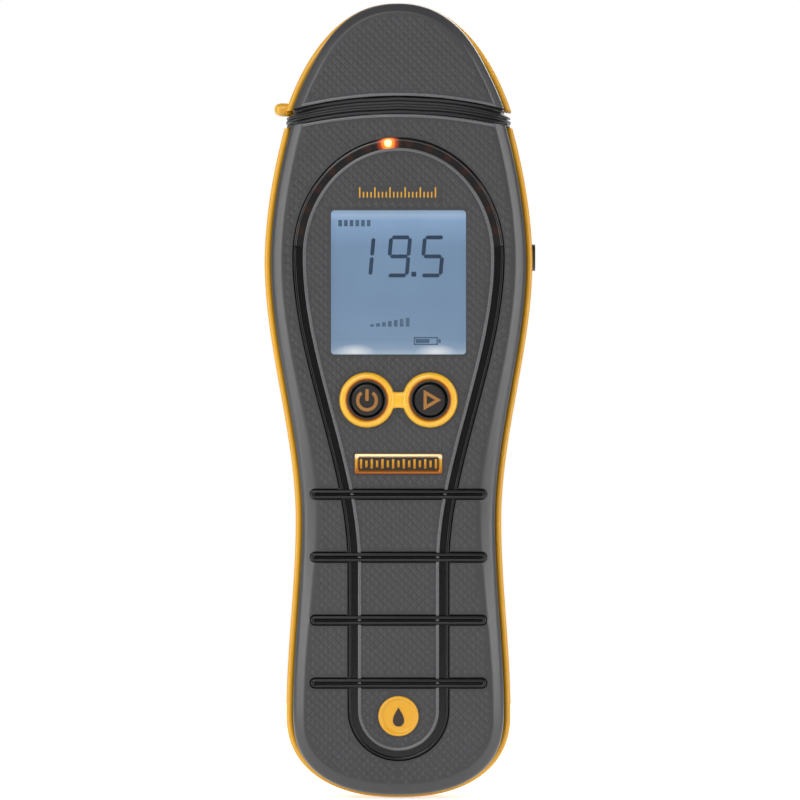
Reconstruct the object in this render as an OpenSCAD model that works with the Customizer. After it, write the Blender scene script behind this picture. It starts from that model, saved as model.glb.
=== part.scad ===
// Pin-type moisture meter, standing on its foot: +Z to the pins, -Y is the front, +X the right side.
// The origin is under the middle of the foot, at half the depth. All sizes are in millimetres.

/* [Case outline] */
// Length of the case from the foot to the middle of the shoulder
case_len = 150.2; // [140:0.2:185]
// Half width at the widest point
wide_half = 29.5; // [28:0.1:36]
// Half width at the waist
waist_half = 22.65; // [22:0.05:28]
// Half width just above the foot
foot_half = 24.7; // [23:0.1:30]
// Height of the rounded foot
foot_rise = 18.3; // [14:0.1:22]
// Height of the waist above the foot's end
waist_z = 61; // [50:1:72]
// From the widest point up to the shoulder
shoulder_rise = 32.2; // [26:0.1:39]
// How much the outline narrows from the widest point to the shoulder
shoulder_drop = 5.2; // [3:0.1:7]
// Depth of the whole meter, front to back
depth = 30; // [29:0.5:38]
// Wall of both case shells
wall = 2; // [1.6:0.1:2.6]
// How far the amber rim stands out past the front shell
rim_show = 1.5; // [1:0.1:2.2]
// Depth of the front shell
front_depth = 9; // [8:0.1:11]

/* [Cap] */
// How far the cap reaches above the shoulder
cap_reach = 24.8; // [22:0.1:32]
// Gap in height between the shoulder and the cap's edge
neck_height = 4; // [3:0.1:6]
// Wall of the cap
cap_wall = 1.8; // [1.4:0.1:2.4]
// Clearance between the cap and what it covers
cap_clear = 0.3; // [0.25:0.05:0.6]

/* [Front trim] */
// How far the highest trim stands above the front face
trim_proud = 1.1; // [0.8:0.1:1.5]
// Half width of the keyhole channel round the display, to its outer edge
key_wide = 23.3; // [21:0.1:23.8]
// Half width of the keyhole channel along the handle
key_narrow = 11.2; // [9:0.1:12]
// Width of the channel
key_groove = 2.4; // [1.5:0.1:2.6]
// Depth of the channel
groove_deep = 1; // [0.6:0.1:1.3]
// Distance between the cross bars
rung_pitch = 13.8; // [11:0.1:15]
// Height of a cross bar
rung_high = 2.5; // [1.8:0.1:3.2]
// Length of a cross bar
rung_long = 39; // [34:0.5:40]

/* [Display] */
// Width of the display opening
view_w = 29.6; // [24:0.1:30.5]
// Height of the display opening
view_h = 31.6; // [26:0.1:32.5]
// Number of status lamps in the arc
led_count = 14; // [8:1:18]

/* [Buttons] */
// Diameter of a button
button_d = 7.1; // [5.5:0.1:8.6]
// Radial gap round a button
button_gap = 0.4; // [0.3:0.05:0.6]
// Width of the amber ring round a button
ring_w = 2.1; // [1.5:0.1:2.5]
// Distance between the two buttons
button_pitch = 13.8; // [13:0.1:16]
// How far a button travels
button_travel = 0.8; // [0.4:0.1:1]

/* [Power] */
// Diameter of a cell
cell_d = 14.5; // [12:0.1:17.5]
// Length of a cell
cell_len = 50.5; // [44:0.5:54]
// Clearance round each cell
cell_gap = 0.3; // [0.2:0.05:0.6]
// Thickness of the battery door
door_t = 2; // [1.6:0.1:2.4]
// Clearance round the battery door
door_gap = 0.3; // [0.25:0.05:0.5]

/* [Pins and socket] */
// Distance between the two needles
pin_pitch = 13; // [11:0.5:16]
// Diameter of a needle
needle_d = 1.2; // [1:0.1:1.8]
// How far a needle stands out of its nut
needle_out = 8; // [6:0.5:10]
// Bore of the outside probe's socket
socket_bore = 3.55; // [3.5:0.05:4.3]
// Diameter of the case screws
screw_d = 2.9; // [2.5:0.1:3.5]

/* [Hidden] */
$fn = 48;
eps = 0.01;
fit = 0.05;               // clearance of pieces that are pushed together
slack = 0.2;              // clearance of pieces that lie beside each other

charcoal = "#505052";
amber = "#EFAE2E";
gloss_black = "#141414";
brass = "#C9A24A";
steel = "#B9BDC2";

// Outline
wide_z = case_len - shoulder_rise;
shoulder_half = wide_half - shoulder_drop;
side_drop = 2.9;          // how much lower the shoulder lies at its sides
foot_n = 2.3;
cap_n = 2.15;
cap_rise = shoulder_rise + cap_reach;
cap_edge_z = case_len + neck_height;
cap_edge_drop = 3.2;      // how much lower the cap's edge lies at its sides

// Depth, from the front face to the back
face_y = -depth / 2 + trim_proud;
back_y = depth / 2;
inner_y = face_y + wall;
rim_y = face_y + front_depth;
rear_in_y = back_y - wall - 0.2;
face_bevel = 2.9;         // width of the flank between the rim and the flat face
back_round = 7;           // how far the back's rounding reaches in

// Display stack
view_z = wide_z - 4.7;
lens_lip = 1.4;           // how far the lens reaches behind the opening's edge
lens_seat = 0.4;          // depth of the lens's pocket below the face
glass_rim = 1;            // how far the glass reaches past the opening
glass_step = 1.5;         // height of the glass's bare edge
glass_t = 1.6;
light_t = 1.9;
light_low = 1.4;          // how much higher than the opening the light guide starts
glass_y = inner_y + slack;
light_y = glass_y + glass_t + fit;
parts_room = 3.1;         // room between the light guide and the board
board_y = light_y + light_t + parts_room;
board_t = 1.6;
board_half = 20.6;
board_step = 5;           // how much narrower the board is beside the buttons
board_notch = 4.5;        // how much narrower it is beside the upper bosses

// Keyhole channel and the arc of lamps
key_z = wide_z + 1;
key_rise = 26.1;
key_flare_z = 51;
key_foot_z = key_narrow + 8.3;
key_steps = 18;           // steps up each side of the keyhole
led_tail = 5;             // angle left free at each end of the lamp window
led_start = 13;           // angle of the first lamp
led_board_y = inner_y + 1.1;
led_board_t = 0.8;
led_size = [1.6, 0.7, 0.9];
lit_k = floor(led_count / 2);
slot_edge = 0.35;         // ledge that the lamp window rests on
slot_low_z = key_z + 5;
lens_deep = groove_deep - 0.5;

// Cross bars on the handle, one node each
rung_count = 4;
rung_top_z = 67;
rung_under = 0.5;         // depth at which the trim passes under a bar
bead_high = 0.7;          // height of a bar's bead above the face
trim_high = 0.35;         // height of the keyhole trim above the face

// Plate and badge
seat_deep = 0.6;
plate_w = 19.2;
plate_h = 4.4;
plate_frame = 0.7;
badge_z = 18.2;
badge_r = 4.45;
badge_rim = 0.7;

// Buttons
button_z = wide_z - 30.5;
plate_z = button_z - 14;
button_r = button_d / 2;
bore_r = button_r + button_gap;
ring_r = bore_r + ring_w;
bridge_half = 2;          // half the height of the bridge between the two rings
ring_seat = 0.8;
housing_h = 3.1;
housing_half = 3;
plunger_d = 3.2;
plunger_in = 0.6;         // how far a plunger stands in its housing at rest
stem_r = 1.8;
key_end_y = board_y - housing_h - button_travel - 0.3;

// Nose, pins and cap
nose_half = 18;
nose_deep = 8;
nose_low_z = case_len - wall - 3.2;
nose_top_z = case_len + 7;
nose_tab_t = 1.5;         // thickness of the tab that carries the nose at the back
stud_r = 2.1;
stud_low_z = nose_low_z - 1.5;
stud_top_z = nose_top_z + 3;
nut_r = 3.1;
nut_grip_h = 3.4;         // height of a nut's straight part
nut_top_z = nose_top_z + 5.2;
nut_tip_r = 1.5;
needle_z = nut_top_z + needle_out;
needle_point = 2.6;       // length of a needle's ground point
collar_inset = 0.9;
nub_r = 1.5;

// Battery bay
door_in_y = back_y - door_t;
cell_y = door_in_y - cell_gap - cell_d / 2;
bay_low_z = 10;
spring_room = 3.6;
contact_t = 0.4;
cell_z = bay_low_z + wall + contact_t + spring_room;
bay_top_z = cell_z + cell_len + contact_t + fit;
bay_half = cell_d + 1.5 * cell_gap;
bay_wall = 1.2;
cell_x = cell_d / 2 + cell_gap / 2;
cell_nub_r = 2.75;        // the cell's positive end
cell_nub_h = 1.2;
spring_turns = 3;
spring_wire = 0.35;
spring_r = 3.6;
contact_half = 5;
door_half = bay_half + bay_wall;
door_top_z = bay_top_z + 2;
rail_w = 0.9;             // how far the door's rails stand out
rail_t = 0.8;
board_low_z = min(bay_top_z + wall + 8, button_z - 8);
board_top_z = nose_low_z - 0.6;

// Case screws
boss_r = screw_d / 2 + 1.3;
high_screw_z = case_len - 11.2;
low_screw_z = bay_top_z + wall + boss_r + 0.6;
high_screw_x = 20;
low_screw_x = 16;
screw_seat_y = back_y - 8;
screw_head_r = screw_d * 0.9;
screw_head_h = 1.8;
screw_slot = [2, 0.3];    // half length and half width of each bar of the cross recess
screw_len = 14;
board_boss_r = 2.1;
board_screw_r = 1;
board_screw_head_r = 1.9;
screw_at = [
    [-high_screw_x, high_screw_z], [high_screw_x, high_screw_z],
    [-low_screw_x, low_screw_z], [low_screw_x, low_screw_z]
];
board_screw_at = [
    [-board_half + 2.3, wide_z - 13], [board_half - 2.3, wide_z - 13],
    [0, board_low_z + 2.6]
];

// Probe socket
socket_z = wide_z + 1;
socket_y = 3;
socket_r = socket_bore / 2;
socket_depth = 12;
socket_thread_r = socket_r + 1.2;
socket_body_half = 3.4;
socket_face_x = wide_half + 0.7;
nut_face_x = wide_half - 0.1;
nut_flat_r = socket_thread_r + 1.3;
nut_seat = 1.2;           // thickness of the socket's nut

function smooth(t) = t * t * (3 - 2 * t);

// Half width of the case at a height above the foot's rounding
function case_half(z) =
    z < waist_z
    ? foot_half + (waist_half - foot_half) * smooth((z - foot_rise) / (waist_z - foot_rise))
    : z < wide_z
    ? waist_half + (wide_half - waist_half) * smooth((z - waist_z) / (wide_z - waist_z))
    : wide_half - shoulder_drop * pow((z - wide_z) / shoulder_rise, 1.8);

function arc_height(middle, drop, x, half) = middle - drop * pow(x / half, 2);

// Evenly spaced heights from one height up to, but not including, another
function steps(low, high, count) = [for (k = [0:count - 1]) low + (high - low) * k / count];

// Right half of the case outline, from the foot's middle to the shoulder's side
function foot_side(inset) = [
    for (t = [0:12:84])
        [(foot_half - inset) * pow(sin(t), 2 / foot_n),
         foot_rise - (foot_rise - inset) * pow(cos(t), 2 / foot_n)]
];
function long_side(inset, end_z) = [
    for (z = concat(steps(foot_rise, waist_z, 3), steps(waist_z, wide_z, 6),
                    steps(wide_z, end_z, 3), [end_z]))
        [case_half(z) - inset, z]
];
function mirrored(points) = [for (k = [len(points) - 1:-1:0]) [-points[k].x, points[k].y]];
// Places along the shoulder and the cap's edge where their curves have a point
edge_x = [for (k = [3:-1:-3]) shoulder_half * k / 4.2];
function shoulder_z(x, lower = 0) = arc_height(case_len - lower, side_drop, x, shoulder_half);
// Outline of the case, offset inwards by the inset, with its shoulder lowered as well
function case_outline(inset, lower = 0) =
    let (side = concat(foot_side(inset), long_side(inset, shoulder_z(shoulder_half - inset, lower))),
         top = [for (x = edge_x) [x, shoulder_z(x, lower)]])
    concat(side, top, [for (p = mirrored(side)) if (p.x < 0) p]);

// Outline of the cap: a dome over a curved lower edge
function cap_point(inset, t) = [
    (wide_half - inset) * pow(cos(t), 2 / cap_n),
    wide_z + (cap_rise - inset) * pow(sin(t), 2 / cap_n)
];
function cap_edge_at(x) = arc_height(cap_edge_z, cap_edge_drop, x, shoulder_half);
function cap_low_angle(inset) =
    asin(pow((cap_edge_at(shoulder_half - inset) - wide_z) / (cap_rise - inset), cap_n / 2));
function cap_side(inset) =
    let (low = cap_low_angle(inset))
    [for (k = [0:9]) cap_point(inset, low + (90 - low) * k / 9)];
function cap_outline(inset) =
    let (side = cap_side(inset))
    concat(side, [for (p = mirrored(side)) if (p.x < -eps) p], [for (x = edge_x) [-x, cap_edge_at(x)]]);

// Keyhole outline, offset inwards
function key_half(z, inset) =
    key_narrow - inset + (key_wide - key_narrow)
    * smooth(max(0, min(1, (z - key_flare_z) / (key_z - key_flare_z))));
function key_outline(inset) = concat(
    [for (t = [-90:9:-9]) [(key_narrow - inset) * cos(t), key_foot_z + (key_narrow - inset) * sin(t)]],
    [for (k = [0:key_steps])
        let (z = key_foot_z + (key_z - key_foot_z) * k / key_steps)
        [key_half(z, inset), z]],
    [for (t = [7.5:7.5:172.5])
        [(key_wide - inset) * cos(t), key_z + (key_rise - inset) * sin(t)]],
    [for (k = [key_steps:-1:0])
        let (z = key_foot_z + (key_z - key_foot_z) * k / key_steps)
        [-key_half(z, inset), z]],
    [for (t = [189:9:261]) [(key_narrow - inset) * cos(t), key_foot_z + (key_narrow - inset) * sin(t)]]
);

// A prism along Y of an outline drawn in X and Z
module slab(y0, y1, points) {
    translate([0, y1, 0]) rotate([90, 0, 0]) linear_extrude(y1 - y0) polygon(points);
}

// A box given by its two corners
module block(low, high) {
    translate(low) cube(high - low);
}

// A rod along Y, and one along Z
module rod_y(x, z, y0, y1, r) {
    translate([x, y1, z]) rotate([90, 0, 0]) cylinder(r = r, h = y1 - y0);
}
module rod_z(x, y, z0, z1, r) {
    translate([x, y, z0]) cylinder(r = r, h = z1 - z0);
}

// Layers of the skins, each from one depth to another with its inset from the outline.
// The case and the cap share them, so that their faces line up.
front_skin = [
    [face_y, face_y + 0.7, rim_show + face_bevel],
    [face_y + 0.7, face_y + 1.8, rim_show + face_bevel * 0.45],
    [face_y + 1.8, rim_y, rim_show]
];
front_hollow = [
    [inner_y, inner_y + 1.6, rim_show + face_bevel * 0.6 + wall],
    [inner_y + 1.6, rim_y + 1, rim_show + wall]
];
rear_skin = [
    [rim_y, back_y - 4, 0],
    [back_y - 4, back_y - 1.6, back_round * 0.22],
    [back_y - 1.6, back_y, back_round * 0.6]
];
rear_hollow = [
    [rim_y - 1, back_y - 5, wall],
    [back_y - 5, rear_in_y, back_round * 0.3 + wall]
];
module case_layers(layers, lower = 0) {
    for (s = layers) slab(s[0], s[1], case_outline(s[2], lower));
}
module cap_layers(layers) {
    for (s = layers) slab(s[0], s[1], cap_outline(s[2]));
}

// Opening of the shoulder, through which the nose stands out
module shoulder_mouth(y0, y1) {
    block([-nose_half - fit, y0, case_len - 12], [nose_half + fit, y1, case_len + 2]);
}

module channel_cut(deep) {
    difference() {
        slab(face_y - 1, face_y + deep, key_outline(0));
        slab(face_y - 2, face_y + deep + 1, key_outline(key_groove));
    }
}

// Everything above, or else below, the height where the lamp window ends
module lamp_zone(above) {
    end_z = key_z + key_rise * sin(led_tail);
    if (above) {
        block([-40, -depth, end_z + fit], [40, depth, case_len + 60]);
    } else {
        block([-40, -depth, -10], [40, depth, end_z]);
    }
}

function rung_z(k) = rung_top_z - rung_pitch * (k - 1);

module rung_shape(k, grow, y0, y1) {
    x = rung_long / 2 - rung_high / 2;
    r = rung_high / 2 + grow;
    slab(y0, y1, [
        for (s = [1, -1]) for (t = [-90:22.5:90])
            [s * (x + r * cos(t)), rung_z(k) + s * r * sin(t)]
    ]);
}

// Post that stands on the inside of the front wall
module front_boss(x, z, r, y1) {
    rod_y(x, z, inner_y - 0.5, y1, r);
}

module front_case() {
    color(charcoal) difference() {
        union() {
            difference() {
                case_layers(front_skin);
                case_layers(front_hollow, wall);
            }
            for (p = screw_at) front_boss(p[0], p[1], boss_r, 0);
            for (p = board_screw_at) front_boss(p[0], p[1], board_boss_r, board_y - fit);
        }
        shoulder_mouth(-nose_deep - fit, rim_y + 1);
        channel_cut(groove_deep);
        for (k = [1:rung_count]) rung_shape(k, fit, face_y - 1, face_y + groove_deep);
        lamp_slot(inner_y + 1);
        block([-view_w / 2, face_y - 1, view_z - view_h / 2],
              [view_w / 2, inner_y + 1, view_z + view_h / 2]);
        block([-view_w / 2 - lens_lip, face_y + lens_seat, view_z - view_h / 2 - lens_lip],
              [view_w / 2 + lens_lip, inner_y + 1, view_z + view_h / 2 + lens_lip]);
        for (s = [-1, 1]) rod_y(s * button_pitch / 2, button_z, face_y - 1, inner_y + 1, bore_r);
        bezel_shape(fit, face_y - 1, face_y + ring_seat);
        plate_shape(fit, face_y - 1, face_y + seat_deep);
        rod_y(0, badge_z, face_y - 1, face_y + seat_deep, badge_r + fit);
        for (p = screw_at) rod_y(p[0], p[1], -11, 1, screw_d / 2 + fit);
        for (p = board_screw_at) rod_y(p[0], p[1], board_y - 4, board_y + 1, board_screw_r + fit);
    }
}

// Slot behind the smoked window, through the front wall
module lamp_slot(y1) {
    intersection() {
        difference() {
            slab(face_y + lens_deep, y1, key_outline(slot_edge));
            slab(face_y - 2, y1 + 1, key_outline(key_groove - slot_edge));
        }
        lamp_zone(true);
        block([-40, -depth, slot_low_z], [40, depth, case_len]);
    }
}

module bezel_shape(grow, y0, y1) {
    for (s = [-1, 1]) rod_y(s * button_pitch / 2, button_z, y0, y1, ring_r + grow);
    block([-button_pitch / 2, y0, button_z - bridge_half - grow],
          [button_pitch / 2, y1, button_z + bridge_half + grow]);
}

module plate_shape(grow, y0, y1) {
    block([-plate_w / 2 - grow, y0, plate_z - plate_h / 2 - grow],
          [plate_w / 2 + grow, y1, plate_z + plate_h / 2 + grow]);
}

module rear_boss(x, z) {
    rod_y(x, z, 0.2, rear_in_y + 0.5, boss_r + 1.1);
}

// Box round the cells, reaching back to the given depth
module bay_box(grow, y1) {
    block([-bay_half - grow, cell_y - cell_d / 2 - cell_gap - grow, bay_low_z + wall - grow],
          [bay_half + grow, y1, bay_top_z + grow]);
}

// Rib that ties the bay to both sides of the case
module bay_rib(z) {
    half = case_half(z) - wall / 2;
    block([-half, cell_y - cell_d / 2, z - 0.7], [half, back_y - 4.5, z + 0.7]);
}

// Way that the door slides along, out through the foot
module door_way(gap, y0) {
    block([-door_half - gap, y0, -1], [door_half + gap, back_y + 1, door_top_z + gap]);
}

module rear_case() {
    color(amber) difference() {
        union() {
            difference() {
                case_layers(rear_skin);
                case_layers(rear_hollow, wall);
            }
            bay_box(bay_wall, rear_in_y + 0.5);
            for (z = [cell_z + 3, bay_top_z - 3]) bay_rib(z);
            for (p = screw_at) rear_boss(p[0], p[1]);
            nose_shelf();
        }
        shoulder_mouth(rim_y - 1, nose_deep + fit);
        bay_box(0, door_in_y);
        door_way(door_gap, door_in_y - door_gap);
        for (s = [-1, 1]) rail_shape(s, door_gap, -1, door_top_z + door_gap);
        for (p = screw_at) {
            rod_y(p[0], p[1], -2, back_y + 1, screw_d / 2 + fit);
            rod_y(p[0], p[1], screw_seat_y, back_y + 1, screw_head_r + slack);
        }
        socket_ring(socket_thread_r + fit, socket_face_x - 20, socket_face_x + 10);
        socket_ring(nut_flat_r + slack, nut_face_x - nut_seat, socket_face_x + 1);
    }
}

// Ledge inside the back that the nose block's tab lies on
module nose_shelf() {
    block([-15, rear_in_y - 3, nose_low_z - 1.6], [15, rear_in_y + 0.5, nose_low_z - slack]);
}

// Tongue along each side of the door, in its groove in the rear case
module rail_shape(s, gap, z0, z1) {
    y = door_in_y - 0.2;
    inner = s * (door_half - 1);
    outer = s * (door_half + rail_w + gap);
    block([min(inner, outer), y - gap, z0], [max(inner, outer), y + rail_t + gap, z1]);
}

module battery_door() {
    color(charcoal) {
        intersection() {
            case_layers(rear_skin);
            block([-door_half, door_in_y, -1], [door_half, back_y + 1, door_top_z]);
        }
        for (s = [-1, 1]) rail_shape(s, 0, 12, door_top_z - 0.5);
    }
}

module case_screws() {
    color(steel) for (p = screw_at) {
        difference() {
            rod_y(p[0], p[1], screw_seat_y, screw_seat_y + screw_head_h, screw_head_r);
            for (bar = [screw_slot, [screw_slot[1], screw_slot[0]]])
                block([p[0] - bar[0], screw_seat_y + screw_head_h / 2, p[1] - bar[1]],
                      [p[0] + bar[0], screw_seat_y + screw_head_h + 1, p[1] + bar[1]]);
        }
        rod_y(p[0], p[1], screw_seat_y - screw_len, screw_seat_y + eps, screw_d / 2);
    }
}

// Band between the shoulder and the cap
module neck_collar() {
    half = shoulder_half - collar_inset;
    across = concat([half], edge_x, [-half]);
    color("#38383A") difference() {
        slab(face_y + 1.4, back_y - 2.4, concat(
            [for (x = across) [-x, shoulder_z(x) + slack]],
            [for (x = across) [x, cap_edge_at(x) - cap_clear]]
        ));
        block([-nose_half - fit, -nose_deep - fit, case_len - 6],
              [nose_half + fit, nose_deep + fit, case_len + 10]);
    }
}

// Insulating block that carries the pins
module nose_block() {
    color("#2C2C2E") difference() {
        union() {
            block([-nose_half, -nose_deep, nose_low_z], [nose_half, nose_deep, nose_top_z]);
            block([-nose_half + 1, nose_deep - 1, nose_low_z],
                  [nose_half - 1, rear_in_y - slack, nose_low_z + nose_tab_t]);
        }
        for (s = [-1, 1]) rod_z(s * pin_pitch / 2, 0, nose_low_z - 1, nose_top_z + 1, stud_r + fit);
    }
}

module cap_front() {
    color(charcoal) difference() {
        cap_layers(front_skin);
        cap_hollow();
    }
}

// Space inside the cap, with straight sides so that it lifts off along Z
module cap_hollow() {
    back = back_y - cap_wall - 0.4;
    for (step = [0, 3])
        slab(inner_y + 3 - step, back - 3 + step, [
            for (p = cap_outline(rim_show + cap_wall + step)) p.y > cap_edge_z ? p : [p.x, case_len - 6]
        ]);
}

module cap_rear() {
    color(amber) {
        difference() {
            cap_layers(rear_skin);
            cap_hollow();
        }
        pull_nub();
    }
}

// Small pull at the cap's lower left corner
module pull_nub() {
    z = cap_edge_z - cap_edge_drop + 0.5;
    x = -shoulder_half - nub_r;
    rod_y(x, z, rim_y + 1, rim_y + 5, nub_r);
    block([x, rim_y + 1, z], [x + nub_r + collar_inset - 0.5, rim_y + 5, z + 1.6]);
}

// Inlay in the channel; the bars cross over it, so it is thinner under them
module channel_trim() {
    color(gloss_black) intersection() {
        difference() {
            slab(face_y - trim_high, face_y + groove_deep - fit, key_outline(fit));
            slab(face_y - 2, face_y + groove_deep + 1, key_outline(key_groove - fit));
            for (k = [1:rung_count]) rung_shape(k, fit, face_y - 2, face_y + rung_under + fit);
        }
        lamp_zone(false);
    }
}

module grip_rung(k) {
    color(gloss_black) {
        difference() {
            rung_shape(k, 0, face_y, face_y + groove_deep - fit);
            channel_cross(k);
        }
        rung_shape(k, -0.5, face_y - bead_high, face_y + eps);
    }
}

// Where a rung passes over the channel
module channel_cross(k) {
    intersection() {
        difference() {
            slab(face_y + rung_under, face_y + 2, key_outline(0));
            slab(face_y, face_y + 3, key_outline(key_groove));
        }
        rung_shape(k, 1, face_y, face_y + 2);
    }
}
module grip_rung_1() { grip_rung(1); }
module grip_rung_2() { grip_rung(2); }
module grip_rung_3() { grip_rung(3); }
module grip_rung_4() { grip_rung(4); }

module name_plate() {
    color(brass) difference() {
        plate_shape(0, face_y - 0.5, face_y + seat_deep - fit);
        plate_shape(-plate_frame, face_y - 1, face_y - 0.1);
    }
}

module round_badge() {
    color(amber) {
        rod_y(0, badge_z, face_y - 0.3, face_y + seat_deep - fit, badge_r);
        difference() {
            rod_y(0, badge_z, face_y - 0.6, face_y, badge_r);
            rod_y(0, badge_z, face_y - 1, face_y + 1, badge_r - badge_rim);
        }
    }
}

module button_bezel() {
    color(amber) difference() {
        bezel_shape(0, face_y - trim_proud, face_y + ring_seat - fit);
        for (s = [-1, 1]) rod_y(s * button_pitch / 2, button_z, face_y - 2, face_y + 2, bore_r);
    }
}

module button(s) {
    x = s * button_pitch / 2;
    color("#2F2D2C") {
        rod_y(x, button_z, face_y - 0.1, inner_y + 0.5, button_r);
        rod_y(x, button_z, inner_y + 0.3, inner_y + 1.3, bore_r + 0.8);
        rod_y(x, button_z, inner_y + 1, key_end_y, stem_r);
    }
}
module power_button() { button(-1); }
module select_button() { button(1); }

module plunger(s) {
    color("#E8E4DA")
        rod_y(s * button_pitch / 2, button_z, key_end_y, board_y - housing_h + plunger_in, plunger_d / 2);
}
module power_plunger() { plunger(-1); }
module select_plunger() { plunger(1); }

module switch_housings() {
    color("#232323") for (s = [-1, 1]) difference() {
        block([s * button_pitch / 2 - housing_half, board_y - housing_h, button_z - housing_half],
              [s * button_pitch / 2 + housing_half, board_y - fit, button_z + housing_half]);
        rod_y(s * button_pitch / 2, button_z, board_y - housing_h - 1, board_y - 1, plunger_d / 2 + 0.1);
    }
}

module display_window() {
    color("#BFD0E0", 0.4) block(
        [-view_w / 2 - lens_lip + fit, face_y + lens_seat + fit, view_z - view_h / 2 - lens_lip + fit],
        [view_w / 2 + lens_lip - fit, inner_y, view_z + view_h / 2 + lens_lip - fit]);
}

module lcd_glass() {
    color("#7C98B8") {
        block([-view_w / 2 - glass_rim, glass_y, view_z - view_h / 2 - glass_rim],
              [view_w / 2 + glass_rim, glass_y + glass_t / 2, view_z + view_h / 2 + glass_rim]);
        block([-view_w / 2 - glass_rim, glass_y + glass_t / 2, view_z - view_h / 2 - glass_rim],
              [view_w / 2 + glass_rim, glass_y + glass_t, view_z + view_h / 2 - glass_step]);
    }
}

module lcd_backlight() {
    color("#F2F4F7") block([-view_w / 2 - glass_rim, light_y, view_z - view_h / 2 + light_low],
                           [view_w / 2 + glass_rim, light_y + light_t, view_z + view_h / 2 - glass_step]);
}

// Conductive strips from the glass to the board
module lcd_connector() {
    z = view_z - view_h / 2 - 0.9;
    color("#7A3B52") block([-view_w / 2, light_y, z], [view_w / 2, board_y - fit, z + 2]);
}

module lamp_band(y0, y1, outer, inner) {
    intersection() {
        difference() {
            slab(y0, y1, key_outline(outer));
            slab(y0 - 1, y1 + 1, key_outline(inner));
        }
        lamp_zone(true);
    }
}

module led_window() {
    color("#2A1410", 0.85)
        lamp_band(face_y - trim_high, face_y + lens_deep - fit, fit, key_groove - fit);
}

module led_board() {
    color("#1F5B33") intersection() {
        lamp_band(led_board_y, led_board_y + led_board_t, -0.2, key_groove + 0.6);
        block([-40, -depth, key_z + 4], [40, depth, case_len]);
    }
}

function led_angle(k) = led_start + (180 - 2 * led_start) * k / (led_count - 1);
module led(k) {
    a = led_angle(k);
    x = (key_wide - key_groove / 2) * cos(a);
    z = key_z + (key_rise - key_groove / 2) * sin(a);
    translate([x, led_board_y - fit, z]) rotate([0, 90 - a, 0])
        translate([-led_size.x / 2, -led_size.y, -led_size.z / 2]) cube(led_size);
}
module status_leds() {
    color("#7A2A14") for (k = [0:led_count - 1]) if (k != lit_k) led(k);
}
module lit_led() {
    color("#FFB070") led(lit_k);
}

module main_pcb() {
    color("#1F5B33") difference() {
        slab(board_y, board_y + board_t, [
            [-board_half + board_step, board_low_z], [board_half - board_step, board_low_z],
            [board_half - board_step, button_z - 4], [board_half, button_z + 4],
            [board_half, high_screw_z - boss_r - 4], [board_half - board_notch, high_screw_z - boss_r],
            [board_half - board_notch, board_top_z], [-board_half + board_notch, board_top_z],
            [-board_half + board_notch, high_screw_z - boss_r], [-board_half, high_screw_z - boss_r - 4],
            [-board_half, button_z + 4], [-board_half + board_step, button_z - 4]
        ]);
        for (p = board_screw_at) rod_y(p[0], p[1], board_y - 1, board_y + 3, board_screw_r + fit);
    }
}

module pcb_screws() {
    color(steel) for (p = board_screw_at) {
        rod_y(p[0], p[1], board_y - 3, board_y + board_t + fit, board_screw_r);
        rod_y(p[0], p[1], board_y + board_t + fit, board_y + board_t + 1.2, board_screw_head_r);
    }
}

module circuit_chips() {
    y = board_y + board_t + fit;
    color("#1B1B1D") {
        block([-5, y, wide_z - 16], [5, y + 1.4, wide_z - 6]);
        block([-12.5, y, wide_z - 4], [-7.5, y + 1.5, wide_z]);
        block([6, y, wide_z + 2], [10, y + 1.5, wide_z + 7]);
        block([-3, y, wide_z + 12], [2, y + 1.5, wide_z + 16]);
    }
}

module beeper() {
    y = board_y + board_t + fit;
    color("#202020") difference() {
        rod_y(7.4, wide_z - 22.5, y, y + 3.6, 4.6);
        rod_y(7.4, wide_z - 22.5, y + 2.6, y + 5, 0.8);
    }
}

// Header between the main board and the arc board
module board_header() {
    z = key_z + key_rise - key_groove - 1.1;
    color("#18181A") block([-6, led_board_y + led_board_t + fit, z], [6, board_y - fit, z + 2]);
}

// A rod along X on the socket's axis
module socket_ring(r, x0, x1) {
    translate([x0, socket_y, socket_z]) rotate([0, 90, 0]) cylinder(r = r, h = x1 - x0);
}

module probe_socket() {
    x = wide_half - wall - 0.6;
    color("#1A1A1C") difference() {
        union() {
            socket_ring(socket_thread_r, x - 1, socket_face_x);
            block([x - socket_depth - 1, socket_y - socket_body_half, socket_z - socket_body_half],
                  [x - 0.3, socket_y + socket_body_half, socket_z + socket_body_half]);
        }
        socket_ring(socket_r, socket_face_x - socket_depth, socket_face_x + 1);
    }
}

module socket_nut() {
    color(steel) difference() {
        socket_ring(nut_flat_r, nut_face_x - nut_seat + fit, nut_face_x);
        socket_ring(socket_thread_r + fit, socket_face_x - 3, socket_face_x + 1);
    }
}

module battery_cell(s) {
    x = s * cell_x;
    color("#C8552B") {
        rod_z(x, cell_y, cell_z + 0.2, cell_z + cell_len - cell_nub_h, cell_d / 2);
        rod_z(x, cell_y, cell_z + cell_len - cell_nub_h - 0.1, cell_z + cell_len, cell_nub_r);
        rod_z(x, cell_y, cell_z, cell_z + 0.3, 4.5);
    }
}
module battery_cell_left() { battery_cell(-1); }
module battery_cell_right() { battery_cell(1); }

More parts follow.
